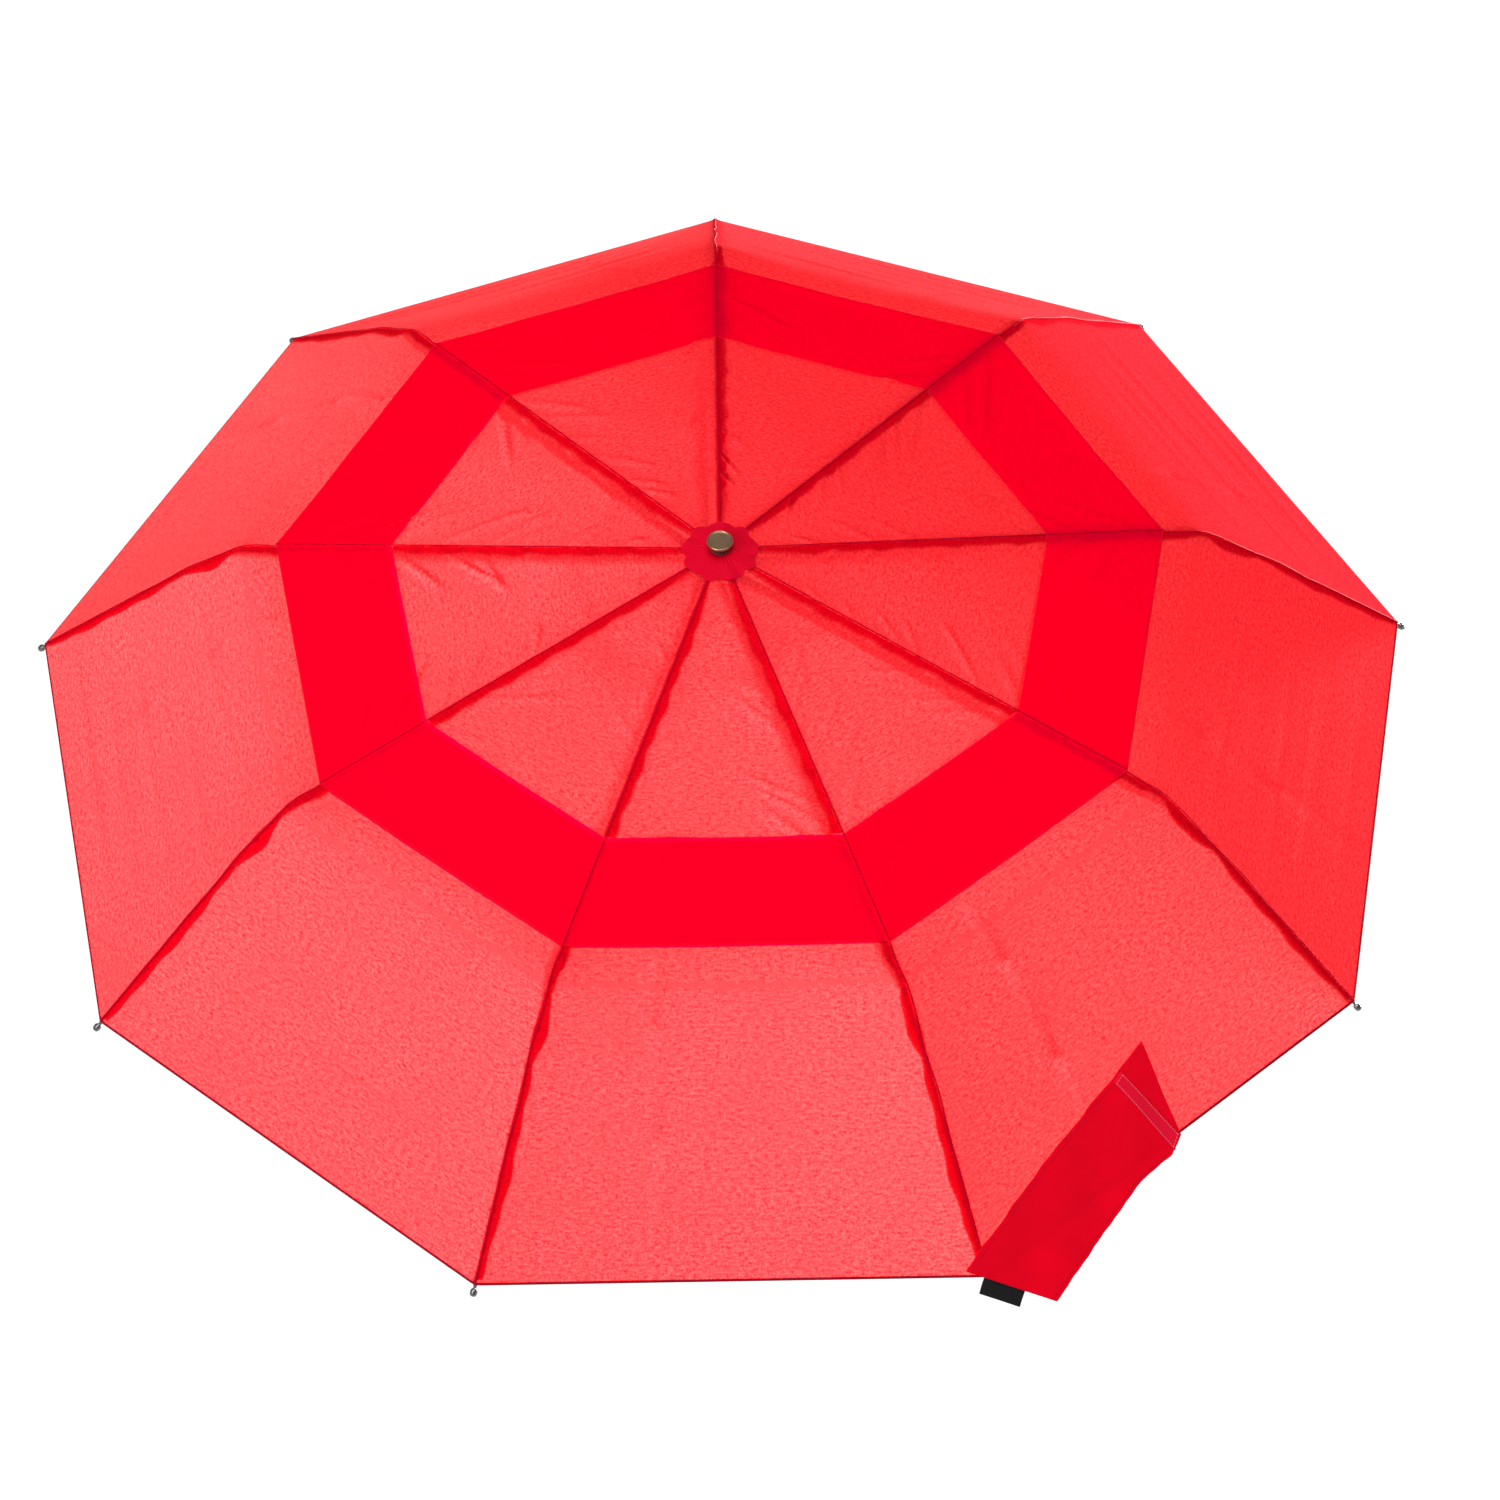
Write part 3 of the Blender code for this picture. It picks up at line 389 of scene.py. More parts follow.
# ==== mesh tools
def add_object(name, data):
    piece = bpy.data.objects.new(name, data)
    bpy.context.scene.collection.objects.link(piece)
    return piece


def add_piece(name, mesh, body, replaces=()):
    piece = add_object(name, mesh)
    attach(piece, body)
    if replaces:
        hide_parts(*replaces)
    return piece


class Patchwork:
    """Collects grids of points into one mesh, with a material and cloth coordinates for each grid."""

    def __init__(self):
        self.points = []
        self.normals = []
        self.faces = []
        self.slots = []
        self.cloth = []
        self.level = []
        self.materials = []

    def grid(self, points, material, cloth=None, level=None, normals=None, flip=False,
             round_u=False, round_v=False):
        """Adds points of shape (rows, columns, 3); a round direction closes on itself."""
        rows, columns = points.shape[:2]
        start = len(self.points)
        self.points.extend(points.reshape(-1, 3))
        if normals is None:
            normals = np.zeros_like(points)
        self.normals.extend(normals.reshape(-1, 3))
        if cloth is None:
            cloth = points
        self.cloth.extend(np.broadcast_to(cloth, points.shape).reshape(-1, 3))
        if level is None:
            level = np.zeros((rows, columns))
        self.level.extend(np.broadcast_to(level, (rows, columns)).reshape(-1))
        if material not in self.materials:
            self.materials.append(material)
        slot = self.materials.index(material)
        for i in range(rows if round_u else rows - 1):
            for j in range(columns if round_v else columns - 1):
                a = start + i * columns + j
                b = start + (i + 1) % rows * columns + j
                c = start + (i + 1) % rows * columns + (j + 1) % columns
                d = start + i * columns + (j + 1) % columns
                self.faces.append((a, d, c, b) if flip else (a, b, c, d))
                self.slots.append(slot)

    def mesh(self, name):
        mesh = bpy.data.meshes.new(name)
        mesh.from_pydata([tuple(p) for p in self.points], [], self.faces)
        for material in self.materials:
            mesh.materials.append(material)
        mesh.polygons.foreach_set("material_index", self.slots)
        mesh.polygons.foreach_set("use_smooth", [True] * len(self.faces))
        mesh.update()
        place = mesh.attributes.new("cloth", "FLOAT_VECTOR", "POINT")
        place.data.foreach_set("vector", np.array(self.cloth, np.float32).reshape(-1))
        level = mesh.attributes.new("level", "FLOAT", "POINT")
        level.data.foreach_set("value", np.array(self.level, np.float32))
        known = np.array(self.normals)
        if np.abs(known).max() > 0:
            own = np.zeros(len(mesh.vertices) * 3, np.float32)
            mesh.vertices.foreach_get("normal", own)
            own = own.reshape(-1, 3)
            missing = np.linalg.norm(known, axis=1) < 0.5
            known[missing] = own[missing]
            mesh.normals_split_custom_set_from_vertices([tuple(n) for n in known])
        return mesh


def round_turns(count):
    return np.linspace(0, 2 * math.pi, count, endpoint=False)


def unit(vectors):
    return vectors / np.maximum(np.linalg.norm(vectors, axis=-1, keepdims=True), 1e-12)


def upward(first, second):
    """Unit vector square to both, on the side that points up."""
    normal = unit(np.cross(first, second))
    return normal * np.sign(normal[..., 2:3])


def sweep(path, side_a, side_b, section):
    """Points of a section swept along a path: section holds its offsets along the two side vectors."""
    side_a = np.broadcast_to(side_a, path.shape)
    side_b = np.broadcast_to(side_b, path.shape)
    first = section[None, :, 0, None] * side_a[:, None, :]
    second = section[None, :, 1, None] * side_b[:, None, :]
    return path[:, None, :] + first + second


def oval(half_a, half_b, sides):
    turns = round_turns(sides)
    return np.stack((half_a * np.cos(turns), half_b * np.sin(turns)), -1)


def lathe(profile, sides, centre=(0, 0, 0), axes=((1, 0, 0), (0, 1, 0), (0, 0, 1))):
    """Points of a shape turned about the last of its axes, of shape (profile, sides, 3)."""
    profile = np.array(profile)
    x_axis, y_axis, z_axis = np.array(axes)
    turns = round_turns(sides)[None, :, None]
    round_part = np.cos(turns) * x_axis + np.sin(turns) * y_axis
    return np.array(centre) + profile[:, 0, None, None] * round_part + profile[:, 1, None, None] * z_axis


def lengths_along(line):
    """Distance along a line of 2D points, at each of its points."""
    return np.concatenate(([0], np.cumsum(np.linalg.norm(np.diff(line, axis=0), axis=1))))


def along_line(line, share):
    """Points at given shares of the length of a line of 2D points."""
    line = np.array(line)
    lengths = lengths_along(line)
    at = share * lengths[-1]
    return np.stack((np.interp(at, lengths, line[:, 0]), np.interp(at, lengths, line[:, 1])), -1)


def rounded(points, radius, steps):
    """Profile with its inner corners replaced by small arcs."""
    points = [np.array(p, float) for p in points]
    result = [points[0]]
    for before, here, after in zip(points, points[1:], points[2:]):
        back = before - here
        on = after - here
        reach = min(radius, 0.45 * np.linalg.norm(back), 0.45 * np.linalg.norm(on))
        start = here + reach * unit(back)
        end = here + reach * unit(on)
        for k in range(steps + 1):
            t = k / steps
            result.append((1 - t) ** 2 * start + 2 * t * (1 - t) * here + t * t * end)
    result.append(points[-1])
    return result


# ==== shape of the cloth
def rib_direction(number):
    azimuth = math.pi / 2 - 2 * math.pi * (number - 1) / RIB_COUNT
    return np.array((math.cos(azimuth), math.sin(azimuth), 0.0))


def gore_beside(rib, side):
    return (rib if side == 1 else rib - 1) % RIB_COUNT or RIB_COUNT


def softplus(value):
    return np.logaddexp(0, value)


def lower_height(level, middle):
    """Height of the lower canopy; the turn over knee and bend is tight at a rib and soft mid gore."""
    rounding = RIB_ROUNDING + (MIDDLE_ROUNDING - RIB_ROUNDING) * middle * (2 - middle)
    fall = INNER_FALL * (level - KNEE_RADIUS)
    fall = fall + (KNEE_FALL - INNER_FALL) * rounding * softplus((level - KNEE_RADIUS) / rounding)
    fall = fall + (OUTER_FALL - KNEE_FALL) * rounding * softplus((level - BEND_RADIUS) / rounding)
    return KNEE_Z - fall


def vent_height(level):
    return KNEE_Z + INNER_FALL * (KNEE_RADIUS - level) + VENT_LIFT


def smooth_window(value, low, high, edge):
    """1 between low and high, falling smoothly to 0 over the edge on both sides."""
    rise = np.clip((value - low) / edge + 0.5, 0, 1)
    drop = np.clip((high - value) / edge + 0.5, 0, 1)
    return rise * rise * (3 - 2 * rise) * drop * drop * (3 - 2 * drop)


def make_folds():
    """Soft folds of each gore, the same on every run."""
    chance = np.random.default_rng(SEED)
    folds = {}
    for gore in range(1, RIB_COUNT + 1):
        count, strength = OUTER_FOLDS[gore]
        lines = []
        for k in range(count):
            centre = 0.455 + (HEM_RADIUS - 0.470) * (k + chance.uniform(0.2, 0.8)) / count
            tilt = chance.uniform(-0.05, 0.05)
            width = chance.uniform(0.0035, 0.0075)
            middle = chance.uniform(-0.45, 0.45)
            reach = chance.uniform(0.40, 0.85)
            height = strength * FOLD_HEIGHT * chance.uniform(0.6, 1.2)
            lines.append((centre, tilt, width, middle, reach, height))
        pulls = []
        for side in (-1, 1):
            for k in range(8):
                level = 0.08 + 0.30 * (k + chance.uniform(0, 1)) / 8
                slant = side * chance.uniform(0.3, 0.9)
                length = chance.uniform(0.3, 0.75)
                height = strength * PULL_HEIGHT * chance.uniform(0.4, 1.0)
                pulls.append((side, level, slant, length, chance.uniform(0.0028, 0.0055), height))
        phase = chance.uniform(0, 2 * math.pi, 6)
        folds[gore] = (lines, pulls, phase, strength)
    return folds


FOLDS = make_folds()


def wrinkles(gore, level, place, vent):
    """Height of the folds and creases; place goes from -1 to 1 across the gore, and ribs hold it flat."""
    lines, pulls, phase, strength = FOLDS[gore]
    across = place * level * HALF_CHORD
    held = 1 - place ** 4
    height = np.zeros(np.broadcast(level, place).shape)
    if not vent:
        for centre, tilt, width, middle, reach, size in lines:
            ridge = np.exp(-((level - centre - tilt * across) / width) ** 2)
            height = height + size * ridge * smooth_window(place, middle - reach, middle + reach, 0.7)
        crease = np.exp(-np.abs(across - CREASE_OFFSET) / 0.0030)
        height = height + CREASE_HEIGHT * crease * smooth_window(level, 0.40, 0.60, 0.02)
        crease = np.exp(-np.abs(level - CROSS_CREASE_LEVEL) / 0.0025)
        height = height - CROSS_CREASE_DEPTH * crease * smooth_window(place, -0.5, 0.75, 0.1)
    for side, start, slant, length, width, size in pulls:
        from_rib = across - side * start * HALF_CHORD
        ridge = np.exp(-((level - start - slant * from_rib) / width) ** 2)
        height = height + size * ridge * smooth_window(side * place, 1 - length, 1.2, 0.35)
    broad = np.sin(38 * level + 5 * across + phase[0]) * np.sin(24 * across + phase[1])
    broad = broad + 0.6 * np.sin(70 * across + 30 * level + phase[2]) * np.sin(55 * level + phase[3])
    height = height + BROAD_HEIGHT * strength * broad * smooth_window(level, 0.08, 0.57, 0.06)
    return height * held * smooth_window(level, -1, HEM_RADIUS - 0.006, 0.012)


def sag(level, middle):
    """The slight hollow of each stretched gore between its ribs."""
    depth = smooth_window(level, 0.03, HEM_RADIUS - 0.03, 0.06)
    return GORE_SAG * depth * middle * (2 - middle) * (0.35 + 0.65 * smooth_window(level, 0.44, 1.0, 0.10))


def seam_sway(level):
    """Sideways sway of the sewn ridge where its casing is loose, past the vent's hem."""
    loose = smooth_window(level, SWAY_START, 0.53, 0.03)
    return SWAY * loose * np.sin(2 * math.pi * (level - SWAY_START) / SWAY_WAVE)


def cloth_surface(rib, side, level, middle, vent):
    """Points of a half gore that starts at a rib and goes to its clockwise (1) or other (-1) neighbour."""
    level, middle = np.broadcast_arrays(level, middle)
    here = rib_direction(rib)
    there = rib_direction(rib + side)
    height = vent_height(level) if vent else lower_height(level, middle)
    place = side * (middle - 1)
    height = height + wrinkles(gore_beside(rib, side), level, place, vent) - sag(level, middle)
    distance = level * middle * HALF_CHORD
    offset = distance - side * seam_sway(level)
    height = height + RIDGE_HEIGHT * np.exp(-(offset / RIDGE_WIDTH) ** 2)
    flat = level[..., None] * (here + 0.5 * middle[..., None] * (there - here))
    flat[..., 2] = height
    return flat


def surface_normal(rib, side, level, middle, vent):
    step = 2e-4
    along = cloth_surface(rib, side, level + step, middle, vent)
    along = along - cloth_surface(rib, side, level - step, middle, vent)
    tiny = step / np.maximum(level * HALF_CHORD, 0.002)
    across = cloth_surface(rib, side, level, middle + tiny, vent)
    across = across - cloth_surface(rib, side, level, middle - tiny, vent)
    return upward(along, across)


def knee_cut(middle):
    """Level of the cut between the cloth of the middle rib and of the tail rib, square to the tail rib."""
    lean = HALF_CHORD ** 2 * math.cos(math.atan(OUTER_FALL)) ** 2
    return KNEE_RADIUS / (1 - 1.05 * lean * middle)


def grid_of(low, high):
    """Levels and middles of a half gore between two levels, with its columns close together at the rib."""
    rows = 1 + math.ceil((high - low) / ROW_SPACING)
    nominal = np.linspace(low, high, rows)[:, None]
    half_width = nominal * HALF_CHORD
    near = [np.minimum(distance / half_width, 0.08 * k) for k, distance in enumerate(SEAM_COLUMNS)]
    last = near[-1]
    far = [last + (1 - last) * k / FIELD_COLUMNS for k in range(1, FIELD_COLUMNS + 1)]
    middle = np.concatenate(near + far, axis=1)
    return nominal, middle


def add_sheet(work, rib, side, low, high, vent, cut_low=False, cut_high=False):
    nominal, middle = grid_of(low, high)
    share = (nominal - low) / (high - low)
    inner = knee_cut(middle) if cut_low else low
    outer = knee_cut(middle) if cut_high else high
    level = inner + (outer - inner) * share + 0 * middle
    points = cloth_surface(rib, side, level, middle, vent)
    normals = surface_normal(rib, side, level, middle, vent)
    across = side * (middle - 1) * level * HALF_CHORD
    slope = level * np.where(level > KNEE_RADIUS, 1.3, 1.0)
    cloth = np.stack((across + 0.7 * gore_beside(rib, side), slope, np.full_like(level, float(vent))), -1)
    work.grid(points, CLOTH, cloth, level, normals, flip=side == 1)


def front_side(rib):
    """Side of a rib that its seam allowance is pressed towards, the one nearer the front gore, where its wide dark
    band is partly painted shade of the rib seen through the cloth.
    """
    return 1 if rib <= 5 else -1


def casing_width(level):
    """Width of the seam allowance: past the knee it bellies between its thread ties."""
    first = np.clip((level - TIED_LEVELS[0]) / (TIED_LEVELS[1] - TIED_LEVELS[0]), 0, 1)
    second = np.clip((level - TIED_LEVELS[1]) / (HEM_RADIUS - TIED_LEVELS[1]), 0, 1)
    belly = 0.5 + 0.7 * np.sin(math.pi * first) + 0.45 * np.sin(math.pi * second) ** 0.8
    narrowing = 0.5 + 0.5 * np.clip((TIED_LEVELS[0] - level) / 0.03, 0, 1)
    return SEAM_WIDTH * np.where(level > TIED_LEVELS[0], belly, narrowing)


def add_ridge(work, rib, low, high, vent):
    """Stitched ridge where two gores meet, a thin cord along the top of the rib."""
    level = np.linspace(low, high, 2 + int((high - low) / 0.004))
    middle = seam_sway(level) / (level * HALF_CHORD)
    path = cloth_surface(rib, 1, level, middle, vent)
    along = unit(np.gradient(path, axis=0))
    across = np.cross((0, 0, 1), rib_direction(rib))
    up = upward(along, across)
    work.grid(sweep(path + 0.0001 * up, across, up, oval(0.0007, 0.0004, 8)), SEAM, round_v=True)


def add_seam(work, rib, side, low, high, vent):
    """Seam allowance under the cloth: pressed towards the front gore, where it hangs free of the cloth. Its dark
    band there is partly the real allowance and partly painted shade of the rib beneath.
    """
    rows = 1 + math.ceil((high - low) / ROW_SPACING)
    level = np.linspace(low, high, rows)[:, None]
    on_shade_band_side = side == front_side(rib)
    wave = 1 + 0.10 * np.sin(level * 210 + rib) + 0.08 * np.sin(level * 97 + 2 * rib + side)
    width = wave * casing_width(level) * (1.0 if on_shade_band_side else 0.25)
    width = np.minimum(width, 0.35 * level * HALF_CHORD)
    share = np.linspace(0, 1, 6)[None, :]
    middle = share * width / (level * HALF_CHORD)
    points = cloth_surface(rib, side, level, middle, vent)
    points[..., 2] -= SEAM_DROP + (SEAM_HANG if on_shade_band_side else 0.0) * share ** 2
    work.grid(points, SEAM, flip=side == 1)


def add_loose_casing(work, rib, side):
    """Loose fold of the rib's casing that stands off the rib between the vent's hem and the bend."""
    level = np.linspace(VENT_HEM_RADIUS + 0.003, KNEE_RADIUS - 0.001, 24)[:, None]
    along = (level - level[0]) / (level[-1] - level[0])
    offset = 0.0062 * np.sin(math.pi * along) ** 0.8 * (1 + 0.2 * np.sin(17 * along + rib))
    width = 0.0026 * (1 + 0.35 * np.sin(23 * along + 2 * rib))
    share = np.linspace(-0.5, 0.5, 4)[None, :]
    middle = np.maximum(offset + width * share, 0) / (level * HALF_CHORD)
    points = cloth_surface(rib, side, level, middle, False)
    points[..., 2] -= SEAM_DROP
    work.grid(points, SEAM, flip=side == 1)


def add_hem(work, rib, side, level, vent):
    """Narrow rolled hem along the edge, a flat tube with its stitches."""
    middle = np.linspace(0, 1, 40)
    edge = cloth_surface(rib, side, np.full_like(middle, level), middle, vent)
    inward = unit(cloth_surface(rib, side, np.full_like(middle, level - 0.01), middle, vent) - edge)
    along = unit(np.gradient(edge, axis=0))
    up = upward(inward, along)
    half_width = HEM_HALF_WIDTH * (0.62 if vent else 1.0)
    path = edge + (half_width - 0.0003) * inward - 0.0003 * up
    points = sweep(path, inward, up, oval(half_width, HEM_HALF_THICKNESS, 8))
    work.grid(points, TRIM if vent else HEM, round_v=True)


def add_thread_ties(work, rib, levels, vent, drop=LOOP_DROP):
    """Turns of thread that tie the seam to the rib under it."""
    here = rib_direction(rib)
    across = np.cross((0, 0, 1), here)
    for level in levels:
        for turn in range(THREAD_TURNS):
            at = level + THREAD_PITCH * turn
            spot = cloth_surface(rib, 1, np.array([at]), np.array([0.0]), vent)[0]
            slope = INNER_FALL if at < KNEE_RADIUS else OUTER_FALL
            ahead = unit(here - np.array((0, 0, slope)))
            up = upward(ahead, across)
            centre = spot - (0.5 * drop + 0.0013) * up
            turns = round_turns(20)
            radial = LOOP_HALF_WIDTH * np.cos(turns)[:, None] * across
            radial = radial + (0.5 * drop) * np.sin(turns)[:, None] * up
            ring = sweep(centre + radial, unit(radial), ahead, oval(THREAD_RADIUS, THREAD_RADIUS, 6))
            work.grid(ring, THREAD, round_u=True, round_v=True)


def rib_point(rib, level):
    """Point over a rib, on the straight stretch of the cloth inside the knee or outside it."""
    if level < KNEE_RADIUS:
        height = KNEE_Z + INNER_FALL * (KNEE_RADIUS - level)
    else:
        height = HEM_Z + OUTER_FALL * (HEM_RADIUS - level)
    return level * rib_direction(rib) + np.array((0, 0, height))


def add_panel(work, rib, side, panel):
    """Adds a panel of cloth, riding on a link of its rib."""
    link, fall, tilt, level, replaced = PANELS[panel]
    hand = "right" if side == 1 else "left"
    body = f"{link}_{rib}"
    mesh = work.mesh(f"canopy_{panel}")
    piece = add_piece(f"canopy_{panel}_{rib}_{hand}", mesh, body, replaced)
    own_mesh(piece)


def add_half_gore(rib, side):
    """The three panels of cloth between a rib and the middle of one of the gores beside it."""
    work = Patchwork()
    add_sheet(work, rib, side, COLLAR_RADIUS, ELBOW_LEVEL, vent=True)
    add_seam(work, rib, side, SEAM_START, ELBOW_LEVEL, vent=True)
    if side == 1:
        add_ridge(work, rib, SEAM_START, ELBOW_LEVEL, vent=True)
        add_thread_ties(work, rib, TOP_TIES, vent=True)
    add_panel(work, rib, side, "top")

    work = Patchwork()
    add_sheet(work, rib, side, ELBOW_LEVEL, VENT_HEM_RADIUS, vent=True)
    add_hem(work, rib, side, VENT_HEM_RADIUS, vent=True)
    add_sheet(work, rib, side, LOWER_EDGE_RADIUS, KNEE_RADIUS, vent=False, cut_high=True)
    add_seam(work, rib, side, ELBOW_LEVEL, LOWER_EDGE_RADIUS, vent=True)
    add_seam(work, rib, side, LOWER_EDGE_RADIUS, KNEE_RADIUS, vent=False)
    if side == front_side(rib):
        add_loose_casing(work, rib, side)
    if side == 1:
        add_ridge(work, rib, ELBOW_LEVEL, VENT_HEM_RADIUS, vent=True)
        add_ridge(work, rib, VENT_HEM_RADIUS, KNEE_RADIUS, vent=False)
        add_thread_ties(work, rib, VENT_TIES, vent=True)
        add_thread_ties(work, rib, LOWER_TIES, vent=False)
    add_panel(work, rib, side, "middle")

    work = Patchwork()
    add_sheet(work, rib, side, KNEE_RADIUS, HEM_RADIUS, vent=False, cut_low=True)
    add_hem(work, rib, side, HEM_RADIUS, vent=False)
    add_seam(work, rib, side, KNEE_RADIUS, HEM_RADIUS - 0.004, vent=False)
    if side == 1:
        add_ridge(work, rib, KNEE_RADIUS, HEM_RADIUS - 0.001, vent=False)
        add_thread_ties(work, rib, TAIL_TIES, vent=False, drop=TAIL_LOOP_DROP)
    add_panel(work, rib, side, "outer")


# ==== crown
def ring_piece(name, body, material, radius, z, half_height, thickness, sides=(72, 12)):
    """Rounded band around the shaft, with its number of sides around and across."""
    turns = round_turns(sides[0])
    ring = np.stack((np.cos(turns), np.sin(turns), np.zeros_like(turns)), -1)
    path = radius * ring + np.array((0, 0, z))
    work = Patchwork()
    band = sweep(path, ring, (0, 0, 1), oval(thickness, half_height, sides[1]))
    work.grid(band, material, round_u=True, round_v=True)
    add_piece(name, work.mesh(name), body)


ROSETTE_HOLE = 0.0045
GATHER_RADIUS = 0.011  # where the rosette's gathers stand highest, and their height
GATHER_HEIGHT = 0.0011


def add_rosette():
    """Gathered, scalloped washer of cloth between the cap and the vent."""
    work = Patchwork()
    turns = round_turns(216)[None, :]
    scallop = 1 + 0.045 * np.cos(RIB_COUNT * (turns - math.pi / 2)) + 0.02 * np.cos(14 * turns + 1.0)
    scallop = scallop + 0.012 * np.cos(23 * turns + 2.0)
    share = np.linspace(0, 1, 22)[:, None]
    for lift in (0.0012, 0.0006):
        radius = ROSETTE_HOLE + (0.955 * ROSETTE_RADIUS * scallop - ROSETTE_HOLE) * share
        base = KNEE_Z + INNER_FALL * (KNEE_RADIUS - radius) + VENT_LIFT + RIDGE_HEIGHT
        gathers = GATHER_HEIGHT * np.exp(-((radius - GATHER_RADIUS) / 0.007) ** 2)
        gathers = gathers * (0.5 + 0.5 * np.cos(31 * turns + 0.8 * np.sin(3 * turns)))
        ruffle = 0.0007 * share ** 2 * np.sin(RIB_COUNT * turns + 0.7)
        ruffle = ruffle + 0.0004 * share ** 3 * np.sin(14 * turns)
        height = base + lift + gathers + ruffle
        points = np.stack((radius * np.cos(turns), radius * np.sin(turns), height), -1)
        work.grid(points, GATHERED, round_v=True)
    add_piece("crown_rosette", work.mesh("crown_rosette"), "upper_section", ["rosette"])


def add_cap():
    """Flat turned cap with a raised rim, a shallow brushed face and an undercut foot on a dark washer."""
    low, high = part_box("crown_cap")
    radius = high.x
    top = high.z
    foot = low.z
    face = [(radius - 0.0017, top - 0.0007), (0.0040, top - 0.0006), (0.0, top - 0.0006)]
    side = [(radius - 0.0046, foot), (radius - 0.0042, foot + 0.0030), (radius - 0.0006, foot + 0.0048)]
    side += [(radius, foot + 0.0056), (radius, top - 0.0010)]
    side += [(radius - 0.0007, top), (radius - 0.0013, top)]
    profile = rounded([(0.006, foot + 0.001)] + side + face, 0.0005, 4)
    work = Patchwork()
    work.grid(lathe(profile, 96), CAP_METAL, round_v=True)
    add_piece("cap", work.mesh("cap"), "upper_section", ["crown_cap"])

    ring_piece("cap_washer", "upper_section", HUB_PLASTIC, radius - 0.0036, foot - 0.0004,
               0.0007, 0.0012, (64, 10))


# ==== rib tips
TIP_DROP = 0.0021  # of the tip's axis below the hem


def add_tips():
    """Metal tip on each tail rib: a crimped sleeve, a narrow neck and a rounded bead."""
    profile = [(0.0, -0.012), (0.0016, -0.012), (0.00175, -0.004), (0.0021, -0.0005)]
    profile += [(0.0014, 0.0012), (0.0013, 0.0026), (0.0022, 0.0034), (0.0031, 0.0046)]
    profile += [(0.0031, 0.0078), (0.0022, 0.0094), (0.0009, 0.0098), (0.0, 0.0099)]
    profile = rounded(profile, 0.0010, 3)
    pitch = math.atan(OUTER_FALL)
    for rib in range(1, RIB_COUNT + 1):
        here = rib_direction(rib)
        outward = here * math.cos(pitch) - np.array((0, 0, math.sin(pitch)))
        up = here * math.sin(pitch) + np.array((0, 0, math.cos(pitch)))
        across = np.cross(outward, up)
        corner = rib_point(rib, HEM_RADIUS) - TIP_DROP * up
        work = Patchwork()
        work.grid(lathe(profile, 28, corner, (across, up, outward)), TIP_METAL, round_v=True)
        add_piece(f"rib_tip_{rib}", work.mesh("rib_tip"), f"tail_rib_{rib}")


# ==== tie strap
TIE_RIB = 5
# edge lines, as (along the hem, up the slope) from the corner of the gore at that rib
TIE_LOWER = ((0.041, -0.051), (0.163, -0.012), (0.198, -0.010), (0.214, 0.000))
TIE_UPPER = ((-0.016, 0.016), (0.008, 0.026), (0.117, 0.058), (0.224, 0.086))
PATCH_LOWER = ((0.202, -0.008), (0.2125, 0.001))
PATCH_UPPER = ((0.182, 0.072), (0.193, 0.0755))
LABEL_START = np.array((-0.005, 0.002))
LABEL_END = np.array((0.021, -0.0285))
LABEL_DEPTH = 0.013
LABEL_TUCK = 0.0025  # how far it reaches under the strap
TIE_GAP = 0.0027  # of the strap above the gore
TIE_THICKNESS = 0.001
PATCH_THICKNESS = 0.0009


def gore_axes():
    """Corner, hem direction, slope direction and normal of the gore that the tie strap lies on."""
    corner = rib_point(TIE_RIB, HEM_RADIUS)
    hem = unit(rib_point(TIE_RIB - 1, HEM_RADIUS) - corner)
    slope = rib_point(TIE_RIB, BEND_RADIUS) - corner
    slope = unit(slope - slope.dot(hem) * hem)
    return corner, hem, slope, np.cross(hem, slope)


CORNER, ALONG_HEM, UP_SLOPE, OFF_GORE = gore_axes()


def on_gore(x, y, height):
    return (CORNER + x[..., None] * ALONG_HEM + y[..., None] * UP_SLOPE
            + np.asarray(height)[..., None] * OFF_GORE)


def strap_height(x, y):
    """Gentle waves of the strap above the gore, the same for everything sewn to it."""
    wave = 0.0010 * np.sin(38 * x + 21 * y) + 0.0006 * np.sin(85 * x - 60 * y + 1.0)
    wave = wave + 0.0005 * np.sin(150 * x + 90 * y)
    return TIE_GAP + wave


def partway(first, second, share):
    """Point or points that lie a share of the way from the first to the second."""
    return np.array(first) + share * (np.array(second) - np.array(first))


def inset_line(line, other, share):
    """Line that runs a share of the way from one edge line to the other."""
    return [partway(a, b, share) for a, b in zip(line, other)]


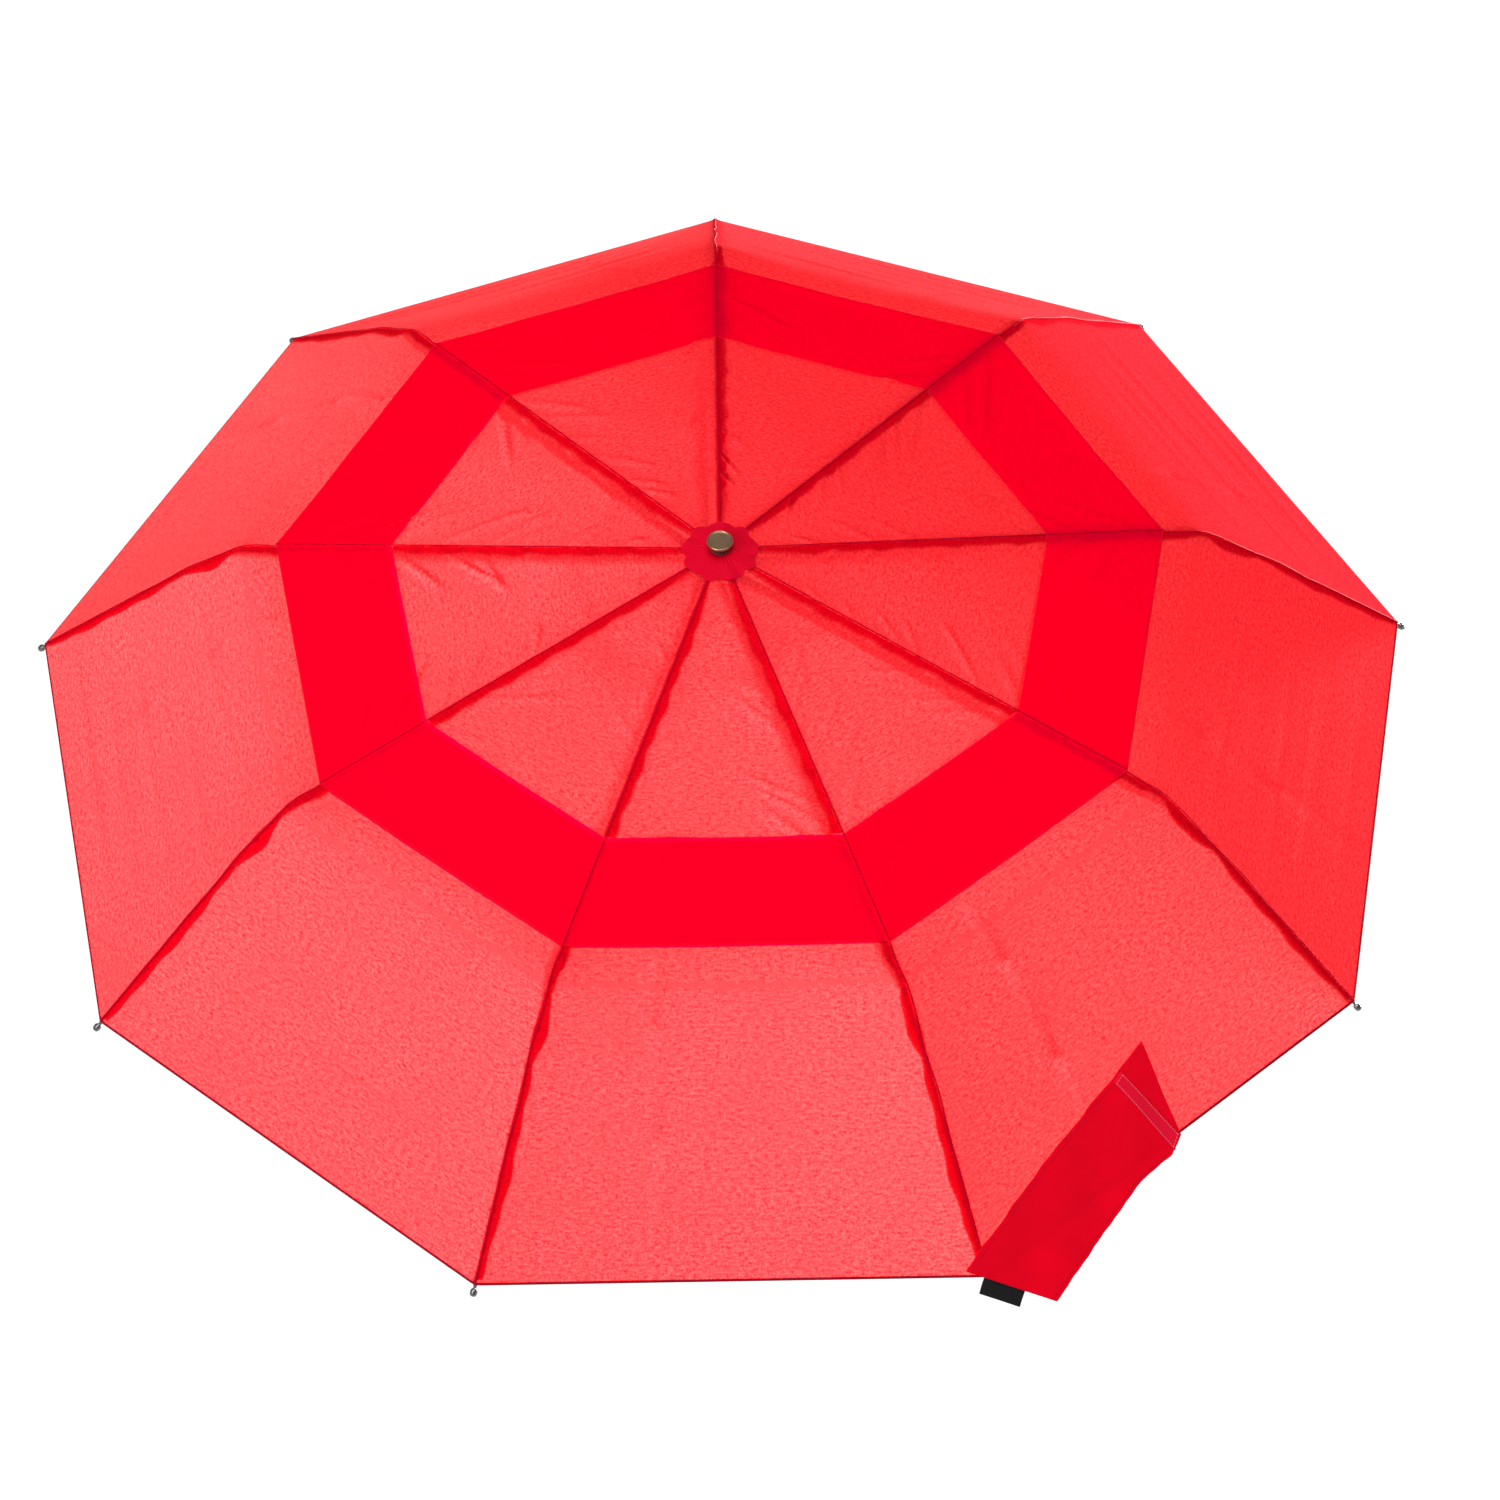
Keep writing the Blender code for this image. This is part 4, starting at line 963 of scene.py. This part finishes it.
def add_slab(work, lower, upper, rows, columns, bottom, top, material, ripple=0.0):
    """Sheet of cloth or tape between two edge lines, with its thickness shown along its edges."""
    u = np.linspace(0, 1, rows)[:, None] * np.ones((1, columns))
    v = np.linspace(0, 1, columns)[None, :] * np.ones((rows, 1))
    plan = partway(along_line(lower, u), along_line(upper, u), v[..., None])
    edge_wave = np.sin(9 * u * math.pi) + 0.5 * np.sin(23 * u * math.pi + 1)
    edge_wave = ripple * edge_wave * (2 * v - 1) ** 5
    plan[..., 1] = plan[..., 1] + edge_wave
    base = strap_height(plan[..., 0], plan[..., 1])
    cloth = np.stack((plan[..., 0], plan[..., 1], np.zeros_like(u)), -1)
    outside = on_gore(plan[..., 0], plan[..., 1], base + top)
    inside = on_gore(plan[..., 0], plan[..., 1], base + bottom)
    work.grid(outside, material, cloth)
    work.grid(inside, material, cloth, flip=True)
    for pick in (np.s_[:, 0], np.s_[:, -1], np.s_[0, :], np.s_[-1, :]):
        rim = np.stack((outside[pick], inside[pick]), 0)
        rim_cloth = np.stack((cloth[pick], cloth[pick]), 0)
        work.grid(rim, material, rim_cloth)


def stitch_line(work, start, end, height, spacing, material):
    """Row of short stitches between two points of the strap."""
    length = np.linalg.norm(end - start)
    count = max(2, int(length / spacing))
    direction = (end - start) / length
    for k in range(count):
        middle = start + direction * length * (k + 0.5) / count
        reach = 0.32 * length / count
        shares = np.linspace(-1, 1, 5)
        plan = middle + np.outer(shares * reach, direction)
        lift = height + 0.00022 * (1 - shares ** 2)
        path = on_gore(plan[:, 0], plan[:, 1], strap_height(plan[:, 0], plan[:, 1]) + lift)
        along = unit(np.gradient(path, axis=0))
        side = unit(np.cross(along, OFF_GORE))
        tube = sweep(path, side, OFF_GORE, oval(0.00026, 0.0002, 6))
        work.grid(tube, material, round_v=True)


def add_strap_cloth():
    """The strap with a row of stitches along each edge."""
    work = Patchwork()
    add_slab(work, TIE_LOWER, TIE_UPPER, 80, 26, 0.0, TIE_THICKNESS, TRIM, ripple=0.0004)
    for share in (0.045, 0.955):
        line = inset_line(TIE_LOWER, TIE_UPPER, share)
        for start, end in zip(line, line[1:]):
            stitch_line(work, start, end, TIE_THICKNESS, 0.0034, THREAD)
    mesh = work.mesh("tie_strap_cloth")
    add_piece("tie_strap_cloth", mesh, "tie_strap", ["tie_strap"])


def add_hook_tape():
    """Hook tape near the strap's free end, stitched all round."""
    work = Patchwork()
    bottom = TIE_THICKNESS + 0.0001
    top = bottom + PATCH_THICKNESS
    add_slab(work, PATCH_LOWER, PATCH_UPPER, 10, 90, bottom, top, HOOKS)
    near = inset_line(PATCH_LOWER, PATCH_UPPER, 0.03)
    far = inset_line(PATCH_LOWER, PATCH_UPPER, 0.97)
    along = [(partway(*near, share), partway(*far, share)) for share in (0.10, 0.90)]
    for start, end in along + [near, far]:
        stitch_line(work, start, end, top, 0.0026, PALE_THREAD)
    add_piece("hook_tape", work.mesh("hook_tape"), "tie_strap", ["hook_patch"])


def add_label():
    """Small woven label folded in two, tucked under the strap's sewn end."""
    edge = unit(LABEL_END - LABEL_START)
    outward = np.array((edge[1], -edge[0]))
    near_line = (LABEL_START - LABEL_TUCK * outward, LABEL_END - LABEL_TUCK * outward)
    far_line = (LABEL_START + LABEL_DEPTH * outward, LABEL_END + LABEL_DEPTH * outward)
    work = Patchwork()
    for bottom in (-0.0011, -0.0006):
        add_slab(work, far_line, near_line, 30, 14, bottom, bottom + 0.0004, LABEL)
    add_piece("woven_label", work.mesh("woven_label"), "tie_strap", ["label_tag"])


# ==== wrist strap
STRAP_LOOP_RADIUS = 0.0212
STRAP_NECK_DROP = 0.014  # from the pin down to where the two sides of the tape are sewn together
STRAP_HALF_THICKNESS = 0.00062


def arc(centre, radius, start, end, steps):
    """Points (y, z) of an arc between two angles in degrees."""
    turns = [math.radians(start + (end - start) * k / steps) for k in range(steps + 1)]
    return [(centre[0] + radius * math.cos(turn), centre[1] + radius * math.sin(turn)) for turn in turns]


def strap_path(pin, low):
    """Distances and points (y, z) along the tape: round its pin, to the neck and round the loop."""
    neck_z = pin.z - STRAP_NECK_DROP
    centre = (pin.y, low.z + STRAP_LOOP_RADIUS + 0.0008)
    path = arc((pin.y, pin.z), 0.0020, -60, 240, 13)
    path += [(pin.y - 0.0009, pin.z - 0.005), (pin.y - 0.0009, neck_z)]
    path += arc(centre, STRAP_LOOP_RADIUS, 172, 368, 90)
    path += [(pin.y + 0.0009, neck_z), (pin.y + 0.0009, pin.z - 0.005)]
    share = np.linspace(0, 1, 220)
    places = along_line(path, share)
    for _ in range(3):
        places[1:-1] = (places[:-2] + 2 * places[1:-1] + places[2:]) / 4
    return share * lengths_along(path)[-1], places


def add_wrist_strap():
    """Loop of woven tape on its pin, sewn together below the handle."""
    low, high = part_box("wrist_strap")
    pin = joint_point("wrist_strap_swing")
    half_width = high.x
    at, places = strap_path(pin, low)
    spine = np.concatenate((np.zeros((len(places), 1)), places), axis=1)
    tangent = unit(np.gradient(spine, axis=0))
    across = np.array((1.0, 0.0, 0.0))
    off = unit(np.cross(across, tangent))
    section = oval(half_width - 0.0003, STRAP_HALF_THICKNESS, 20)
    flatness = np.minimum(1, np.abs(section[:, 1]) / 0.0003)
    section[:, 1] = STRAP_HALF_THICKNESS * np.sign(section[:, 1]) * flatness
    points = sweep(spine, across, off, section)
    cloth = np.stack((np.broadcast_to(section[None, :, 0], points.shape[:2]),
                      np.broadcast_to(at[:, None], points.shape[:2]), np.zeros(points.shape[:2])), -1)
    work = Patchwork()
    work.grid(points, WEBBING, cloth, round_v=True)

    neck_z = pin.z - STRAP_NECK_DROP
    turns = np.linspace(-1, 1, 5)
    stitch = oval(0.00022, 0.00022, 6)
    for k in range(9):
        share = -0.8 + 0.2 * k
        for face in (-1, 1):
            spot = (half_width * share * 0.8, pin.y + face * 0.00165, neck_z + 0.0015 + 0.003 * (k % 3))
            run = np.array(spot) + np.outer(turns * 0.0009, (0.0, 0.0, 1.0))
            run = run + np.outer(1 - turns ** 2, (0, face * 0.0002, 0))
            work.grid(sweep(run, across, (0, 1, 0), stitch), WEBBING, round_v=True)
    add_piece("wrist_loop", work.mesh("wrist_loop"), "wrist_strap", ["wrist_strap"])


# ==== shaft and handle trim
HANDLE_RING_RADIUS = 0.0149
RIDGE_RING_RADIUS = 0.0092  # of the runner's grip rings, their first height on it and their spacing
RIDGE_RING_START = 0.010
RIDGE_RING_PITCH = 0.004


def add_shaft_trim():
    """Rolled tube ends, the handle's bright collar and the runner's grip rings."""
    for tube, body in (("upper_tube", "upper_section"), ("middle_tube", "middle_section")):
        low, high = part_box(tube)
        ring_piece(f"{tube}_rolled_end", body, BRIGHT_STEEL,
                   high.x + 0.0001, low.z + 0.0009, 0.0008, 0.00045)
    collar_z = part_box("handle_shell")[1].z - 0.0012
    ring_piece("handle_collar_ring", "handle", BRIGHT_STEEL,
               HANDLE_RING_RADIUS, collar_z, 0.0010, 0.0006)
    runner_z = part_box("runner")[0].z
    for k in range(3):
        ring_piece(f"runner_ridge_{k + 1}", "runner", HUB_PLASTIC,
                   RIDGE_RING_RADIUS, runner_z + RIDGE_RING_START + RIDGE_RING_PITCH * k, 0.0009, 0.0005)


def dress_frame():
    """Materials and smooth shading for the CAD pieces that stay in view."""
    by_slot = {
        "rib_steel": RIB_PAINT, "bright_steel": BRIGHT_STEEL, "shaft_steel": SHAFT_PAINT,
        "hub_plastic": HUB_PLASTIC, "handle_plastic": HANDLE_PLASTIC,
        "button_plastic": BUTTON_PLASTIC, "grip_rubber": GRIP_RUBBER,
        "canopy_cloth": CLOTH, "trim_cloth": TRIM, "hook_patch": HOOKS, "label_cloth": LABEL,
        "strap_webbing": WEBBING, "cap_metal": CAP_METAL,
    }
    for part in frame["record"]["subparts"]:
        node = frame["nodes"][part["node"]]
        node.data.materials.clear()
        node.data.materials.append(by_slot[part["material_slot"]])
        node.data.shade_smooth()
        node.data.set_sharp_from_angle(angle=math.radians(35))


# ==== floor, light and camera
FLOOR_REACH = 14.0
FLOOR_DROP = 0.35  # of the floor below the umbrella
AIM_HEIGHT = 0.45  # of the point that the lights are aimed at
CAMERA_ELEVATION = 51.96  # degrees, as for the two below
CAMERA_TURN = -0.35  # about the shaft
CAMERA_ROLL = -0.644
CAMERA_PLACE = Vector((0.0235, -3.0333, HEM_Z + 3.8437))


def add_floor():
    """Pale floor that gives back a soft even light, as the photograph's white ground does."""
    nodes = Nodes("floor", (0.06, 0.06, 0.06), 0.9)
    nodes.give({"Emission Color": (1, 1, 1), "Emission Strength": 1.0})
    z = cad_box[0][2] - FLOOR_DROP
    corners = [[(x, y, z) for x in (-FLOOR_REACH, FLOOR_REACH)] for y in (-FLOOR_REACH, FLOOR_REACH)]
    work = Patchwork()
    work.grid(np.array(corners), nodes.material, flip=True)
    floor = add_object("floor", work.mesh("floor"))


def add_light(name, azimuth, elevation, distance, size, power):
    """Soft rectangular light aimed at the middle of the umbrella, left out of the camera's sight."""
    light = bpy.data.lights.new(name, "AREA")
    light.shape = "RECTANGLE"
    light.size, light.size_y = size
    light.energy = power
    lamp = add_object(name, light)
    turn = math.radians(azimuth)
    rise = math.radians(elevation)
    towards = Vector((math.cos(rise) * math.cos(turn), math.cos(rise) * math.sin(turn), math.sin(rise)))
    lamp.location = Vector((0, 0, AIM_HEIGHT)) + distance * towards
    lamp.rotation_euler = (-towards).to_track_quat("-Z", "Y").to_euler()
    lamp.visible_camera = False


def add_lights():
    """A low light behind shines up through the cloth; the others are soft fill from above."""
    world = bpy.data.worlds.new("studio")
    bpy.context.scene.world = world
    world.use_nodes = True
    background = world.node_tree.nodes["Background"]
    background.inputs["Color"].default_value = (1, 1, 1, 1)
    background.inputs["Strength"].default_value = 0.35
    add_light("back_glow", 48, -22, 2.6, (2.4, 0.5), 720)
    add_light("soft_key", 225, 38, 3.0, (1.5, 1.5), 55)
    add_light("overhead", 0, 88, 3.0, (1.6, 1.6), 60)


def add_camera():
    """Long lens looking down on the open canopy from the front."""
    camera = bpy.data.cameras.new("camera")
    camera.sensor_width = 36.0
    camera.lens = 133.1
    camera.clip_end = 60.0
    camera_object = add_object("camera", camera)
    turn = Matrix.Rotation(math.radians(CAMERA_TURN), 4, "Z")
    tilt = Matrix.Rotation(math.radians(90 - CAMERA_ELEVATION), 4, "X")
    roll = Matrix.Rotation(math.radians(CAMERA_ROLL), 4, "Z")
    camera_object.matrix_world = turn @ Matrix.Translation(CAMERA_PLACE) @ tilt @ roll
    bpy.context.scene.camera = camera_object


dress_frame()
for rib_number in range(1, RIB_COUNT + 1):
    for rib_side in (1, -1):
        add_half_gore(rib_number, rib_side)
add_rosette()
add_cap()
add_tips()
add_strap_cloth()
add_hook_tape()
add_label()
add_wrist_strap()
add_shaft_trim()
add_floor()
add_lights()
add_camera()
bpy.context.scene.view_settings.view_transform = "Standard"
